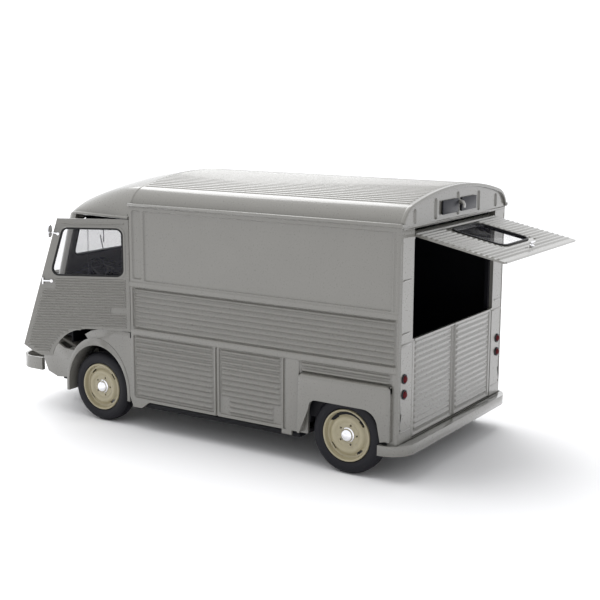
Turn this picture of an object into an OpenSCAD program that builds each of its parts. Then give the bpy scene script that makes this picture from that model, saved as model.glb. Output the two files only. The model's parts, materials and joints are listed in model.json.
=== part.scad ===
// Corrugated delivery van, a 1:18 scale model that stands on its own tyres.
// Millimetres. +Z is up, the van's front faces -Y and its left side is +X.
// It is drawn about the middle of the wheelbase on the ground, then shifted so that the
// origin is the bottom centre of the box around the van with its door and tailgate open.

/* [Body] */
// Width over the cargo sides
body_w = 105; // [104:0.1:106]
// Height of the gutter, where the sides meet the roof
gutter_z = 108.3; // [107:0.1:110]
// Height of the roof's crown above the gutter
roof_rise = 12.1; // [11:0.1:13]
// Distance from mid-wheelbase forward to the cargo body's front edge
cargo_front = 48; // [47.5:0.1:48.5]
// Distance from mid-wheelbase back to the rear face
cargo_rear = 94.4; // [94:0.1:95]
// Thickness of the cast walls
wall = 1.4; // [1.2:0.1:1.6]
// Height of the sills' lower edge
sill_z = 14.4; // [14:0.1:15]

/* [Corrugations] */
// Distance between two ribs of the sides and rear doors
rib_pitch = 2.45; // [2.3:0.05:2.6]
// Height of a rib above its panel
rib_h = 0.5; // [0.3:0.05:0.6]
// Distance between two ribs of the cab doors
door_rib_pitch = 1.25; // [1.1:0.05:1.4]

/* [Wheels] */
// Distance between the axles
wheelbase = 140.6; // [140:0.1:141]
// Diameter of a tyre
tyre_d = 33.8; // [33:0.1:34]
// Width of a tyre
tyre_w = 8.6; // [8:0.1:9]
// Visible diameter of a wheel rim
rim_d = 23; // [22:0.1:24]
// Half the distance between the front tyres' middles
front_track = 46.1; // [45.8:0.1:46.4]
// Half the distance between the rear tyres' middles
rear_track = 48.8; // [48.5:0.1:49]
// Radius of the axles
axle_r = 1.25; // [1.1:0.05:1.3]
// Radial clearance of a turning shaft in its hole
running = 0.06; // [0.03:0.01:0.1]

/* [Doors] */
// How far the left cab door stands open, in degrees from straight ahead
door_open = 26; // [24:1:30]
// How far a closed cab door leans in towards the front, in degrees
cab_taper = 4; // [3:0.5:5]
// How far the tailgate stands open, in degrees
gate_open = 78.5; // [76:0.5:80]
// Half the width of the tailgate
gate_half = 39.9; // [39.7:0.05:40]
// Radius of the hinge pins
pin_r = 0.35; // [0.3:0.05:0.4]

/* [Display base] */
// Distance between the two display-base screw holes
base_hole_spacing = 120; // [110:1:125]
// Radius of a display-base screw hole
base_hole_r = 1.25; // [1:0.05:1.5]

/* [Hidden] */
$fn = 48;
half_w = body_w / 2;
crown_z = gutter_z + roof_rise;
front_axle_y = -wheelbase / 2;
rear_axle_y = wheelbase / 2;
axle_z = tyre_d / 2;
door_top = 100.6;           // upper edge of the cab doors
door_foot = 47.2;           // lower edge of the cab doors at the hinge
door_axis = [half_w - 0.6, -cargo_front - 0.9];
door_t = 1.2;               // thickness of doors and tailgate
door_out = 0.5;             // from the hinge axis out to the door's face
rake = 16.8;                // slope of the cab doors' front edge and the windscreen
gate_axis = [cargo_rear - 2.05, 101.6];
gate_foot = 59.4;           // lower edge of the closed tailgate
leaf_top = 58.4;            // upper edge of the rear doors at their hinges
lug_top = 59.4;             // top of the lugs over the rear doors' upper hinge pins
leaf_foot = 17;             // lower edge of the rear doors
leaf_axis = [gate_half - 0.4, cargo_rear - 0.6];
floor_z = 21;               // top of the load floor
plate_z = 11.5;             // underside of the chassis plate
plate_top = 13.5;
fender_x = half_w + 2.8;    // outer face of the rear fender boxes
bumper_x = half_w + 3.3;    // outer ends of the rear bumper
bumper_front = -130;        // front face of the front bumper
lobe_x = 33.5;              // inner side of the boxes in front of the front wheels
kingpin_x = front_track - 4.1;
steer_arm = 5.5;            // from the kingpin back to the tie rod's pin
rod_z = 14.2;               // underside of the tie rod
steer_hub = [22, -88.5, 69.5];
steer_tilt = 28;            // the steering column's lean from upright
column_r = 1;
big_r = 180;                // radius of the roof's flat crown
corner_r = 11.5;            // radius of the roof's rounded shoulders
arch_n = 40;                // straight pieces in the roof's half outline

// The box around the van, door and tailgate open, which sets the origin
door_reach = 52.4;
gate_tip = gate_axis[1] - gate_foot;
box_left = door_axis[0] + door_out * cos(door_open) + door_reach * sin(door_open);
box_rear = gate_axis[0] + (cargo_rear - gate_axis[0]) * cos(gate_open) + gate_tip * sin(gate_open);
mid_x = (box_left - bumper_x) / 2;
mid_y = (box_rear + bumper_front) / 2;

BODY = [0.50, 0.49, 0.45];
CREAM = [0.85, 0.82, 0.68];
BLACK = [0.05, 0.05, 0.06];
CHROME = [0.85, 0.86, 0.88];
GLASS = [0.6, 0.66, 0.7, 0.4];

// ---------- helpers ----------

function arc(cx, cy, rx, ry, from, to, n) =
    [for (i = [0:n]) let (a = from + (to - from) * i / n) [cx + rx * cos(a), cy + ry * sin(a)]];

// Points of a rectangle with round corners, from its two opposite corners
function round_rect(x0, y0, x1, y1, r, n = 5) = concat(
    arc(x1 - r, y1 - r, r, r, 0, 90, n), arc(x0 + r, y1 - r, r, r, 90, 180, n),
    arc(x0 + r, y0 + r, r, r, 180, 270, n), arc(x1 - r, y0 + r, r, r, 270, 360, n));

function unit(v) = v / norm(v);
function corner(pts, i) = let (n = len(pts), p = pts[i],
    a = unit(pts[(i + n - 1) % n] - p), b = unit(pts[(i + 1) % n] - p))
    [p, a, unit(a + b), acos(a * b) / 2];

// A convex outline with each edge moved inwards by d
function inset_poly(pts, d) = [for (i = [0:len(pts) - 1]) let (c = corner(pts, i))
    c[0] + c[2] * d / sin(c[3])];

// A convex outline with its corners rounded to radius r
function round_poly(pts, r, n = 5) = [for (i = [0:len(pts) - 1]) let (c = corner(pts, i),
    mid = c[0] + c[2] * r / sin(c[3]), start = c[0] + c[1] * r / tan(c[3]) - mid,
    out = -c[2], from = atan2(start[1], start[0]), to = atan2(out[1], out[0]),
    half = ((to - from + 540) % 360) - 180)
    each [for (k = [0:n]) mid + r * [cos(from + 2 * half * k / n), sin(from + 2 * half * k / n)]]];

// An outline in (y, z) made solid from x0 to x1
module slab_x(x0, x1) translate([x0, 0, 0]) rotate([90, 0, 90]) linear_extrude(x1 - x0) children();

// An outline in (x, z) made solid from y0 to y1
module slab_y(y0, y1) translate([0, y1, 0]) rotate([90, 0, 0]) linear_extrude(y1 - y0) children();

// An outline in (x, y) made solid from z0 to z1
module slab_z(z0, z1) translate([0, 0, z0]) linear_extrude(z1 - z0) children();

// A block from its lowest to its highest corner
module block(low, high) translate(low) cube(high - low);

// Everything is drawn on the left, and the right side is its mirror image
module on_side(side) {
    if (side > 0) children();
    else mirror([1, 0, 0]) children();
}

module both_sides() {
    on_side(1) children();
    on_side(-1) children();
}

// Moves the finished drawing to the part's origin
module place() translate([-mid_x, -mid_y, 0]) children();

// A band of parallel ribs on a panel: the outline is in (height, across), going down from top
function rib_outline(base, top, n, pitch, h) = concat([[base - 0.2, top]],
    [for (i = [0:n * 6]) [base + h * (1 - cos(60 * i)) / 2, top - i * pitch / 6]],
    [[base - 0.2, top - n * pitch]]);

module side_ribs(y0, y1, top, n) {
    slab_y(y0, y1) polygon(rib_outline(half_w - rib_h, top, n, rib_pitch, rib_h - 0.05));
}

// The roof's outer height at x, for a crown lowered by drop and an edge moved in by inset
function roof_outline(inset, drop) = let (
    r = corner_r - inset,
    R = big_r - inset,
    top = crown_z - drop - inset,
    sx = half_w - 0.6 - inset - r,
    sz = top - R + sqrt(pow(R - r, 2) - pow(sx, 2)),
    turn = atan2(sz - (top - R), sx))
    concat(arc(sx, sz, r, r, 0, turn, 12), arc(0, top - R, R, R, turn, 180 - turn, arch_n),
        arc(-sx, sz, r, r, 180 - turn, 180, 12));

// ---------- body ----------

module side_wall(side) {
    color(BODY)
    on_side(side)
    difference() {
        union() {
            difference() {
                block([half_w - wall, -cargo_front, sill_z], [half_w, cargo_rear, gutter_z]);
                pockets();
            }
            side_ribs(-cargo_front + 2.2, cargo_rear - 2.4, 69, 8);
            side_ribs(-cargo_front + 2.2, -0.4, 46, 12);
            side_ribs(4.4, 36.6, 46, 9);
            side_ribs(8.8, 33, 46 - 9 * rib_pitch, 3);
            side_ribs(cargo_front + 1.6, cargo_rear - 2.8, 46.2, 2);
            slab_y(-cargo_front, cargo_rear)
                polygon([[half_w - 0.2, gutter_z - 1.8], [half_w + 1.2, gutter_z - 1.4],
                    [half_w + 1.2, gutter_z], [half_w - 0.2, gutter_z]]);
            block([half_w - wall, -cargo_front, 11], [half_w, -38, sill_z]);
            block([half_w - wall, 37.4, 12.4], [half_w, 42.6, sill_z]);
        }
        rear_arch(half_w - wall - 1, half_w + 2);
        // room for the rear wheel behind its fender
        block([half_w - wall - 1, 51, 10], [half_w + 1, 90, 36]);
        door_pin_holes();
    }
}

// The shallow pressings of a side: two upper panels, the corrugated band, the lower panels
module pockets() {
    deep = half_w - rib_h;
    slab_x(deep, half_w + 1) polygon(round_rect(-cargo_front + 1.6, 73, -40.8, 105, 1.2));
    slab_x(deep, half_w + 1) polygon(round_rect(-39.6, 72.4, cargo_rear - 1.3, 104.7, 0.6));
    slab_x(deep, half_w + 1) polygon(round_rect(-cargo_front + 1.4, 49.2, cargo_rear - 1.6, 69.2, 0.8));
    slab_x(deep, half_w + 1) polygon(round_rect(-cargo_front + 1.4, 16.2, 0.4, 46.2, 0.8));
    slab_x(deep, half_w + 1) polygon(round_rect(3.6, 16.2, 37.4, 46.2, 0.8));
}

function arch_points() = [[48.5, 10], [54.6, 28.2], [57.6, 30.2], [79, 30.2], [84.3, 27.4],
    [87.6, 17.6], [88.4, 10]];

module rear_arch(x0, x1) slab_x(x0, x1) polygon(arch_points());

module rear_fender(side) {
    color(BODY)
    on_side(side)
    difference() {
        slab_x(half_w, fender_x) polygon(concat([[cargo_front + 0.1, 15], [92.4, 17.6]],
            arc(90.9, 39.8, 1.5, 1.5, 0, 90, 5), arc(cargo_front + 1.6, 39.8, 1.5, 1.5, 90, 180, 5)));
        rear_arch(half_w - 1, fender_x + 1);
        block([half_w - 1, 51, 10], [fender_x - wall, 90, 38]);
    }
}

module cargo_roof() {
    color(BODY)
    difference() {
        union() {
            slab_y(-cargo_front, cargo_rear + 1) polygon(roof_outline(0, 0));
            for (i = [-15:15])
                roof_rib(i * rib_pitch);
        }
        slab_y(-cargo_front - 1, cargo_rear + 2) polygon(roof_outline(wall - 0.2, 0));
        block([-60, -cargo_front - 1, 80], [60, cargo_rear + 2, gutter_z]);
    }
}

// One lengthwise rib of the roof at x
module roof_rib(x) {
    crown = crown_z - big_r + sqrt(pow(big_r, 2) - pow(x, 2));
    slab_y(-cargo_front + 2, cargo_rear - 1)
        polygon([[x - 0.6, crown - 0.3], [x + 0.6, crown - 0.3], [x + 0.25, crown + 0.25],
            [x - 0.25, crown + 0.25]]);
}

module rear_header() {
    color(BODY) {
        intersection() {
            slab_y(cargo_rear - wall, cargo_rear) polygon(roof_outline(wall - 0.15, 0));
            block([-half_w + wall + 0.02, 90, 105.4], [half_w - wall - 0.02, 96, 130]);
        }
        for (x = [-41, -21.4, 0, 21.4, 41])
            header_rib(x);
    }
}

// One upright bead of the header
module header_rib(x) {
    block([x - 0.5, cargo_rear - 0.1, 108.4], [x + 0.5, cargo_rear + 0.3, abs(x) > 30 ? 112.6 : 116.2]);
}

module rear_posts() {
    color(BODY) {
        difference() {
            union() {
                both_sides() block([gate_half + 0.3, 90.8, sill_z], [half_w - wall, cargo_rear, 105.4]);
                // stops behind the doors and the tailgate
                both_sides() block([38.6, 90.8, 16.6], [gate_half + 0.3, 92.8, 98]);
                // sill under the rear doors
                block([-half_w + wall, 90.8, sill_z], [half_w - wall, cargo_rear, 16.6]);
                // lugs over the doors' upper hinge pins
                both_sides() block([38.7, 92.8, leaf_top + 0.15], [gate_half + 0.3, cargo_rear, lug_top]);
            }
            both_sides() leaf_pins(pin_r);
            both_sides() gate_pin(0.8);
            both_sides() for (z = [43.8, 37.2])
                translate([47, cargo_rear - 0.5, z]) rotate([-90, 0, 0]) cylinder(r = 1.5, h = 2);
        }
        both_sides() {
            block([42.2, cargo_rear - 0.1, 84.6], [half_w - wall - 1.6, cargo_rear + 0.2, 85.1]);
            block([42.2, cargo_rear - 0.1, 62.6], [half_w - wall - 1.6, cargo_rear + 0.2, 63.1]);
            block([gate_half + 0.8, cargo_rear - 0.1, 57.6], [half_w - wall - 0.6, cargo_rear + 0.25, 58.6]);
        }
    }
}

module rear_bumper() {
    color(BODY)
    difference() {
        slab_z(12, 16.4)
            polygon(concat([[-bumper_x, 87], [-bumper_x + 2, 87]],
                arc(-bumper_x + 9.5, 87.5, 7.5, 7.5, 180, 90, 8),
                arc(bumper_x - 9.5, 87.5, 7.5, 7.5, 90, 0, 8), [[bumper_x - 2, 87], [bumper_x, 87]],
                arc(bumper_x - 11.5, 87.5, 11.5, 11.5, 0, 90, 10),
                arc(-bumper_x + 11.5, 87.5, 11.5, 11.5, 90, 180, 10)));
        // step that the body's corners stand in
        block([-half_w - 0.1, 80, sill_z - 0.1], [half_w + 0.1, cargo_rear + 0.1, 17]);
    }
    color(BODY)
    slab_z(12, 14.4)
        polygon([[-44, 92.4], [44, 92.4], [44, 94.8], [-44, 94.8]]);
}

// ---------- cab ----------

// The cab's plan at the top of the doors; inset thins it to the inner face
function cab_plan(inset) = concat(
    [[half_w - 0.1 - inset, -cargo_front - 0.2], [50 - inset, -83]],
    arc(42, -87.9, 8 - inset, 8 - inset, 0, -90, 8), arc(-42, -87.9, 8 - inset, 8 - inset, 270, 180, 8),
    [[-50 + inset, -83], [-half_w + 0.1 + inset, -cargo_front - 0.2]]);

// The cab roof's side view: a crown that falls towards a round brow
function cab_profile(inset) = concat(
    [[-cargo_front - 0.2, 90], [-cargo_front - 0.2, crown_z - 0.6 - inset]],
    [for (i = [0:12]) [-50 - 41.4 * i / 12, crown_z - 0.6 - inset - 11.5 * pow(i / 12, 1.7)]],
    arc(-91.4, 102.3, 6 - inset, 6 - inset, 95, 180, 5), [[-97.4 + inset, 90]]);

module cab_solid(inset) {
    intersection() {
        slab_y(-110, -cargo_front - 0.2) polygon(roof_outline(inset, 0.6));
        slab_x(-60, 60) polygon(cab_profile(inset));
        slab_z(90, 130) polygon(cab_plan(inset));
    }
}

module cab_roof() {
    color(BODY)
    difference() {
        union() {
            cab_solid(0);
            cab_gutter();
        }
        cab_solid(wall);
        block([-70, -120, 80], [70, 0, door_top + 0.3]);
        door_pin_holes();
    }
}

// The rain gutter over each cab door
module cab_gutter() {
    both_sides() slab_z(door_top + 0.3, door_top + 1.3)
        polygon([[half_w - 1.2, -cargo_front - 0.2], [half_w + 0.7, -cargo_front - 0.2],
            [50.8, -83.6], [48.8, -83.6]]);
}

// The cab front stands in a frame that leans with the rake: its own z runs up the pillars
module raked() translate([0, -83, door_top + 0.3]) rotate([-rake, 0, 0]) children();

function pillar_plan(inset, back) = concat([[50 - inset, back]],
    arc(42, -3.4, 8 - inset, 8 - inset, 0, -90, 8), arc(-42, -3.4, 8 - inset, 8 - inset, 270, 180, 8),
    [[-50 + inset, back]]);

function screen_outline(inset) = round_rect(-39 + inset, -27.5 + inset, 39 - inset, -5.8 - inset,
    4 - inset);

module cab_front() {
    color(BODY) {
        intersection() {
            raked() difference() {
                slab_z(-40, 8) polygon(pillar_plan(0, -0.5));
                slab_z(-41, 9) polygon(pillar_plan(wall, 1));
                slab_y(-14, -8) polygon(screen_outline(0));
            }
            block([-60, -125, 70], [60, -80, door_top + 0.3]);
        }
        both_sides() slab_x(48.2, 49.6)
            polygon([[-92.8, 70], [-104.2, 70], [-104.2, 38.8], [-102.2, 38.8]]);
        block([-48.2, -104.2, 38.8], [48.2, -102.8, 70]);
    }
}

module windscreen_seal() {
    color(BLACK)
    raked() slab_y(-11.9, -10) difference() {
        polygon(screen_outline(0.02));
        polygon(screen_outline(0.9));
    }
}

module windscreen_glass() {
    color(GLASS)
    raked() slab_y(-11.3, -10.6) polygon(screen_outline(0.92));
}

// Each wiper: a pivot, an arm and a blade that lies a little closer to the screen
module wipers() {
    color(CHROME)
    raked() both_sides() {
        translate([14, -12.1, -29.5]) rotate([90, 0, 0]) cylinder(r = 1, h = 1.2);
        translate([14, 0, -29.5]) rotate([0, 28, 0]) block([-0.3, -13, 0], [0.3, -12.4, 12]);
        translate([16.2, 0, -23]) rotate([0, 18, 0]) block([-0.25, -12.6, 0], [0.25, -12, 14]);
    }
}

function nose_profile(inset) = concat([[-104.3, 69.4 - inset], [-113, 68 - inset]],
    arc(-117.6, 60.6, 7 - inset, 7 - inset, 80, 175, 7),
    [[-127.6 + inset, 31], [-126.5 + inset, 22]], [[-104.3, 22]]);

module nose() {
    color(BODY)
    difference() {
        slab_x(-29, 29) polygon(nose_profile(0));
        translate([0, 0, -2]) slab_x(-27.7, 27.7) polygon(nose_profile(1.3));
        block([-27.7, -125, 20], [27.7, -104, 60]);
        slab_y(-132, -115) polygon(round_rect(-20, 33, 20, 57, 3));
    }
    // cheeks between the nose and the wings
    color(BODY)
    both_sides() block([28.5, -104.2, 22], [lobe_x - 0.1, -102.9, 38.7]);
}

module grille() {
    color(BODY)
    for (i = [0:6])
        translate([0, 0.32 * i - 1.1, 0])
            block([-21.5, -122.4, 34.5 + 3.1 * (6 - i)], [21.5, -121.2, 36.6 + 3.1 * (6 - i)]);
    color(BODY)
    both_sides() block([19.8, -121.9, 33.5], [21.5, -119.3, 57]);
}

// The wheel arch of a front wing: an ellipse about the wheel
function front_arch(rx, ry) = concat(arc(front_axle_y - 0.2, 17, rx, ry, 0, 180, 24),
    [[front_axle_y - 0.2 - rx, 5], [front_axle_y - 0.2 + rx, 5]]);

module front_wing(side) {
    color(BODY)
    on_side(side)
    difference() {
        union() {
            intersection() {
                slab_x(39, 52.3) polygon(front_arch(20.4, 24.6));
                block([38, -95, 13], [54, -48.2, 50]);
            }
            slab_x(50.7, 52.1) polygon([[-48.2, 11.6], [-48.2, 46.8], [-66, 46.8], [-74, 44.8],
                [-78, 42.6], [-74, 38], [-60, 38]]);
            wing_lobe();
        }
        slab_x(28, 54) polygon(front_arch(18.9, 20.9));
        slab_x(46.5, 54) polygon([[-102.2, 39], [-97.2, 35.6], [-92.9, 33.6], [-88, 33.2],
            [-86, 34], [-84, 39.5], [-79, 47], [-102.2, 60]]);
        door_pin_holes();
    }
}

// The box in front of the wheel, open at its underside
module wing_lobe() {
    difference() {
        slab_x(lobe_x, 51) polygon(lobe_profile(0));
        slab_x(lobe_x + wall, 51 - wall) polygon(lobe_profile(wall));
        block([28, -103, 10], [49.6, -84, 22]);
    }
}

function lobe_profile(inset) = [[-86, 33 - inset], [-88 - inset * 0.5, 19.4 + inset],
    [-98.3, 18.3 + inset], [-104.6 + inset, 20.5 + inset], [-107.5 + inset, 27],
    [-106.6 + inset, 34], [-104.3 + inset * 0.6, 38.6 - inset], [-100, 38 - inset]];

module headlamps() {
    color(BODY)
    both_sides() translate([38.5, -104.2, 53]) rotate([90, 0, 0])
        rotate_extrude() polygon([[0, 0], [2.4, 0], [2.4, 2], [4.2, 3.2], [5.1, 5], [5.4, 7.4],
            [5.4, 8.4], [4.7, 8.4], [4.7, 7.4], [0, 7.4]]);
}

module headlamp_lenses() {
    color(GLASS)
    both_sides() translate([38.5, -111.6, 53]) rotate([90, 0, 0])
        rotate_extrude() polygon(concat([[0, 0], [4.65, 0], [4.65, 0.9]], arc(0, -5.4, 7.8, 7.8, 54, 90, 5)));
}

module front_bumper() {
    color(BODY) {
        slab_z(19, 25.4) polygon(concat(
            [[-48, -112], [-46, -112]], arc(-38, -119.4, 9, 9, 170, 270, 6),
            arc(38, -119.4, 9, 9, 270, 370, 6), [[46, -112], [48, -112]],
            arc(37.5, -119.5, 10.5, 10.5, 0, -90, 6), arc(-37.5, -119.5, 10.5, 10.5, 270, 180, 6)));
        both_sides() block([18, -128.4, 19.6], [22, -118, 21.9]);
    }
}

// ---------- interior and chassis ----------

module chassis_base() {
    color(BLACK)
    difference() {
        union() {
            block([-33, -112, plate_z], [33, 90.6, plate_top]);
            both_sides() block([33, -46, plate_z], [half_w - wall, 46, plate_top]);
            both_sides() block([18.5, -118, 15], [21.5, -104, 19.5]);
            both_sides() block([18.5, -112, plate_top], [21.5, -104, 19.5]);
            both_sides() fork();
            both_sides() block([34, rear_axle_y - 3, plate_z], [39, rear_axle_y + 3, 19.5]);
            both_sides() block([33, rear_axle_y - 3, plate_z], [34, rear_axle_y + 3, plate_top]);
            for (y = [-1, 1]) translate([0, y * base_hole_spacing / 2, plate_z])
                cylinder(r = 3, h = 8);
            exhaust();
        }
        for (y = [-1, 1]) translate([0, y * base_hole_spacing / 2, plate_z - 1])
            cylinder(r = base_hole_r, h = 7);
        translate([-45, rear_axle_y, axle_z]) rotate([0, 90, 0])
            cylinder(r = axle_r + running, h = 90);
        both_sides() translate([kingpin_x, front_axle_y, 8]) cylinder(r = 0.8 + running, h = 18);
        screw_places() cylinder(r = 0.8, h = 4);
    }
}

// The fork that holds a front wheel's kingpin
module fork() {
    block([29, front_axle_y - 2.2, plate_z], [33, front_axle_y + 2.2, 24.4]);
    block([33, front_axle_y - 2.2, 22.7], [kingpin_x + 1.8, front_axle_y + 2.2, 24.4]);
    block([33, front_axle_y - 2.2, 9.4], [kingpin_x + 1.8, front_axle_y + 2.2, 11.1]);
    block([29, front_axle_y - 2.2, 9.4], [33, front_axle_y + 2.2, plate_z]);
}

// Silencer and tail pipe moulded on the underside
module exhaust() {
    translate([-18, -10, 10.4]) rotate([-90, 0, 0]) cylinder(r = 3, h = 28);
    translate([-18, 17, 10.4]) rotate([-90, 0, 0]) cylinder(r = 1.1, h = 60);
}

module screw_places() both_sides() for (y = [-40, 40])
    translate([44, y, plate_z - 0.5]) children();

// Bosses under the floor that the chassis screws bite into
module screw_bosses() screw_places() translate([0, 0, plate_top - plate_z + 0.5]) difference() {
    cylinder(r = 2.6, h = 6.1);
    translate([0, 0, -1]) cylinder(r = 0.8, h = 6);
}

module base_screws() {
    color(CHROME)
    screw_places() translate([0, 0, -0.4]) difference() {
        union() {
            cylinder(r = 1.7, h = 0.88);
            cylinder(r = 0.78, h = 7);
        }
        block([-1.2, -0.2, -0.1], [1.2, 0.2, 0.4]);
    }
}

module interior_tub() {
    inner = half_w - wall - 0.05;
    color(BLACK) {
        difference() {
            block([-inner, -46, 19.6], [inner, 90.7, floor_z]);
            both_sides() block([42.4, 51.7, 19], [inner + 1, 89, floor_z + 1]);
        }
        screw_bosses();
        // boxes over the rear wheels
        both_sides() {
            block([41.2, 50.5, floor_z], [42.4, 90.2, 37]);
            block([42.4, 50.5, floor_z], [inner, 51.7, 36]);
            block([42.4, 89, floor_z], [inner, 90.2, 36]);
            block([42.4, 50.5, 36], [inner, 90.2, 37]);
        }
        // wall between the cab and the load space
        block([-inner, -47.4, 19.6], [inner, -46, 107]);
        // cab floor and engine box
        difference() {
            block([-32.4, -102.6, 19.6], [32.4, -47.4, floor_z]);
            both_sides() fork_room();
        }
        block([-32.4, -66, floor_z], [32.4, -65, 44.4]);
        block([-33.4, -66, 44.4], [33.4, -47.4, 45.4]);
        both_sides() {
            difference() {
                block([32.4, -92.5, 19.6], [33.4, -47.4, 44.4]);
                fork_room();
            }
            block([33.4, -92.5, 35.8], [46.4, -91.5, 44.4]);
            block([33.4, -92.5, 44.4], [46.4, -47.4, 45.4]);
            block([32.4, -92.5, 44.4], [33.4, -66, 45.4]);
            block([32.4, -102.6, 39], [46.4, -92.5, 40]);
            block([32.4, -102.6, 19.6], [33.4, -92.5, 39]);
        }
    }
}

// Room in the cab floor for the top of a front wheel's fork
module fork_room() block([28.8, front_axle_y - 3, 19], [34, front_axle_y + 3, 25.2]);

module dashboard() {
    lean = [0, sin(steer_tilt), cos(steer_tilt)];
    color(BLACK) {
        slab_x(-45.5, 45.5) polygon([[-102.7, 60], [-94.6, 61], [-93.4, 66], [-95, 70.4], [-102.7, 69.8]]);
        slab_x(15, 29) polygon([[-101.5, 69.7], [-97.4, 70], [-98.3, 72.6], [-101.5, 72.4]]);
        translate(steer_hub - lean * 26) rotate([-steer_tilt, 0, 0]) cylinder(r = column_r, h = 27.4);
    }
}

module steering_wheel() {
    color(BLACK)
    translate(steer_hub) rotate([-steer_tilt, 0, 0]) difference() {
        union() {
            rotate_extrude() translate([10, 0]) circle(r = 0.75);
            cylinder(r = 2.2, h = 2, center = true);
            for (a = [30, 150, 270]) rotate([0, 0, a]) rotate([0, 90, 0]) cylinder(r = 0.5, h = 9.8);
        }
        translate([0, 0, -2]) cylinder(r = column_r + running, h = 3.6);
    }
}

module seats() {
    color([0.14, 0.14, 0.15])
    both_sides() {
        slab_x(11, 39) polygon(round_rect(-73, 45.4, -50.2, 52, 1.6));
        slab_x(12, 38) translate([-56.2, 52.3]) rotate(-8) polygon(round_rect(-2.2, 0, 1.8, 27, 1.6));
    }
}

// ---------- rear trim ----------

module tail_places() both_sides() for (z = [43.8, 37.2])
    translate([47, cargo_rear, z]) rotate([-90, 0, 0]) children();

module tail_lamp_bezels() {
    color(BLACK)
    tail_places() difference() {
        union() {
            cylinder(r = 2.1, h = 0.5);
            translate([0, 0, -0.45]) cylinder(r = 1.45, h = 0.5);
        }
        translate([0, 0, 0.2]) cylinder(r = 1.6, h = 1);
    }
}

module tail_lamp_lenses() {
    color([0.75, 0.06, 0.08])
    tail_places() translate([0, 0, 0.2]) rotate_extrude()
        polygon(concat([[0, 0], [1.55, 0]], arc(0, 0, 1.55, 1.25, 0, 90, 6)));
}

module rear_plates() {
    color(BLACK) {
        block([1.4, cargo_rear + 0.3, 108.8], [16.4, cargo_rear + 0.9, 114.6]);
        block([-16.9, cargo_rear + 0.3, 108.8], [-1.9, cargo_rear + 0.9, 114.6]);
        for (x = [4, 13, -5, -14]) translate([x, cargo_rear, 111.6]) rotate([-90, 0, 0])
            cylinder(r = 0.8, h = 0.35);
    }
}

module plate_lamp() {
    color(CHROME)
    slab_x(-1.5, 1) polygon([[cargo_rear + 0.32, 112.6], [cargo_rear + 1.4, 112.6], [cargo_rear + 2.5, 111.8],
        [cargo_rear + 3, 110.4], [cargo_rear + 3, 112], [cargo_rear + 2.2, 113.4],
        [cargo_rear + 0.32, 114.2]]);
}

// ---------- wheels and steering ----------

module tyre(x, y) {
    color(BLACK)
    translate([x, y, axle_z]) rotate([0, 90, 0]) rotate_extrude() polygon(concat(
        [[rim_d / 2, -tyre_w / 2 + 1]], arc(tyre_d / 2 - 2.2, -tyre_w / 2 + 2.4, 2.2, 2.4, 270, 360, 6),
        arc(tyre_d / 2 - 2.2, tyre_w / 2 - 2.4, 2.2, 2.4, 0, 90, 6), [[rim_d / 2, tyre_w / 2 - 1]]));
}

// A pressed rim, drawn with its outer face towards +X and its middle at x = 0
module rim(bore) {
    r = rim_d / 2 - 0.02;
    outer = tyre_w / 2;
    rotate([0, 90, 0]) difference() {
        rotate_extrude() polygon([[bore, -1.6], [2.5, -1.6], [2.5, 1.4], [6, 1.8], [7.6, 2.6], [9.3, 1.2],
            [9.9, 1.2], [9.9, -3.3], [r, -3.3], [r, outer - 0.6], [r - 0.7, outer - 0.3],
            [r - 1.2, outer - 0.9], [r - 1.8, outer - 2.2], [7.9, outer - 1.2], [6.6, outer - 1.1],
            [5.4, outer - 1.9], [bore, outer - 2]]);
        for (a = [0:4]) rotate([0, 0, 72 * a + 18]) translate([4.2, 0, 0])
            cylinder(r = 0.38, h = 6);
        for (a = [0:3]) rotate([0, 0, 90 * a + 40]) block([8.6, -1.7, -1], [9.4, 1.7, 5]);
    }
}

module hub_cap(x, y, side) {
    color(CHROME)
    translate([x, y, axle_z]) on_side(side) rotate([0, 90, 0]) rotate_extrude()
        polygon(concat([[0, tyre_w / 2 - 1.98], [2.9, tyre_w / 2 - 1.88]],
            arc(0, tyre_w / 2 - 1.4, 2.9, 1.9, 0, 90, 8)));
}

module front_rim(side) {
    color(CREAM)
    on_side(side) translate([front_track, front_axle_y, axle_z]) rim(axle_r + running);
}

module front_cap(side) hub_cap(side * front_track, front_axle_y, side);

module rear_rims() {
    color(CREAM)
    both_sides() translate([rear_track, rear_axle_y, axle_z]) rim(axle_r);
}

module rear_tyres() {
    tyre(rear_track, rear_axle_y);
    tyre(-rear_track, rear_axle_y);
}

module rear_caps() {
    hub_cap(rear_track, rear_axle_y, 1);
    hub_cap(-rear_track, rear_axle_y, -1);
}

module rear_axle() {
    tip = rear_track + tyre_w / 2 - 2.02;
    color(CHROME)
    translate([-tip, rear_axle_y, axle_z]) rotate([0, 90, 0]) cylinder(r = axle_r - 0.002, h = 2 * tip);
}

module knuckle(side) {
    color(BLACK)
    on_side(side) {
        block([kingpin_x - 1.5, front_axle_y - 1.6, 11.4], [kingpin_x + 1.5, front_axle_y + 1.6, 22.4]);
        block([kingpin_x - 0.9, front_axle_y + 1.6, 15.9], [kingpin_x + 0.9, front_axle_y + steer_arm + 1, 17.1]);
        translate([kingpin_x, front_axle_y, 9.5]) cylinder(r = 0.8, h = 14.8);
        translate([kingpin_x, front_axle_y + steer_arm, rod_z - 0.3]) cylinder(r = 0.6, h = 2);
        translate([kingpin_x, front_axle_y, axle_z]) rotate([0, 90, 0]) cylinder(r = axle_r, h = 6);
    }
}

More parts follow.
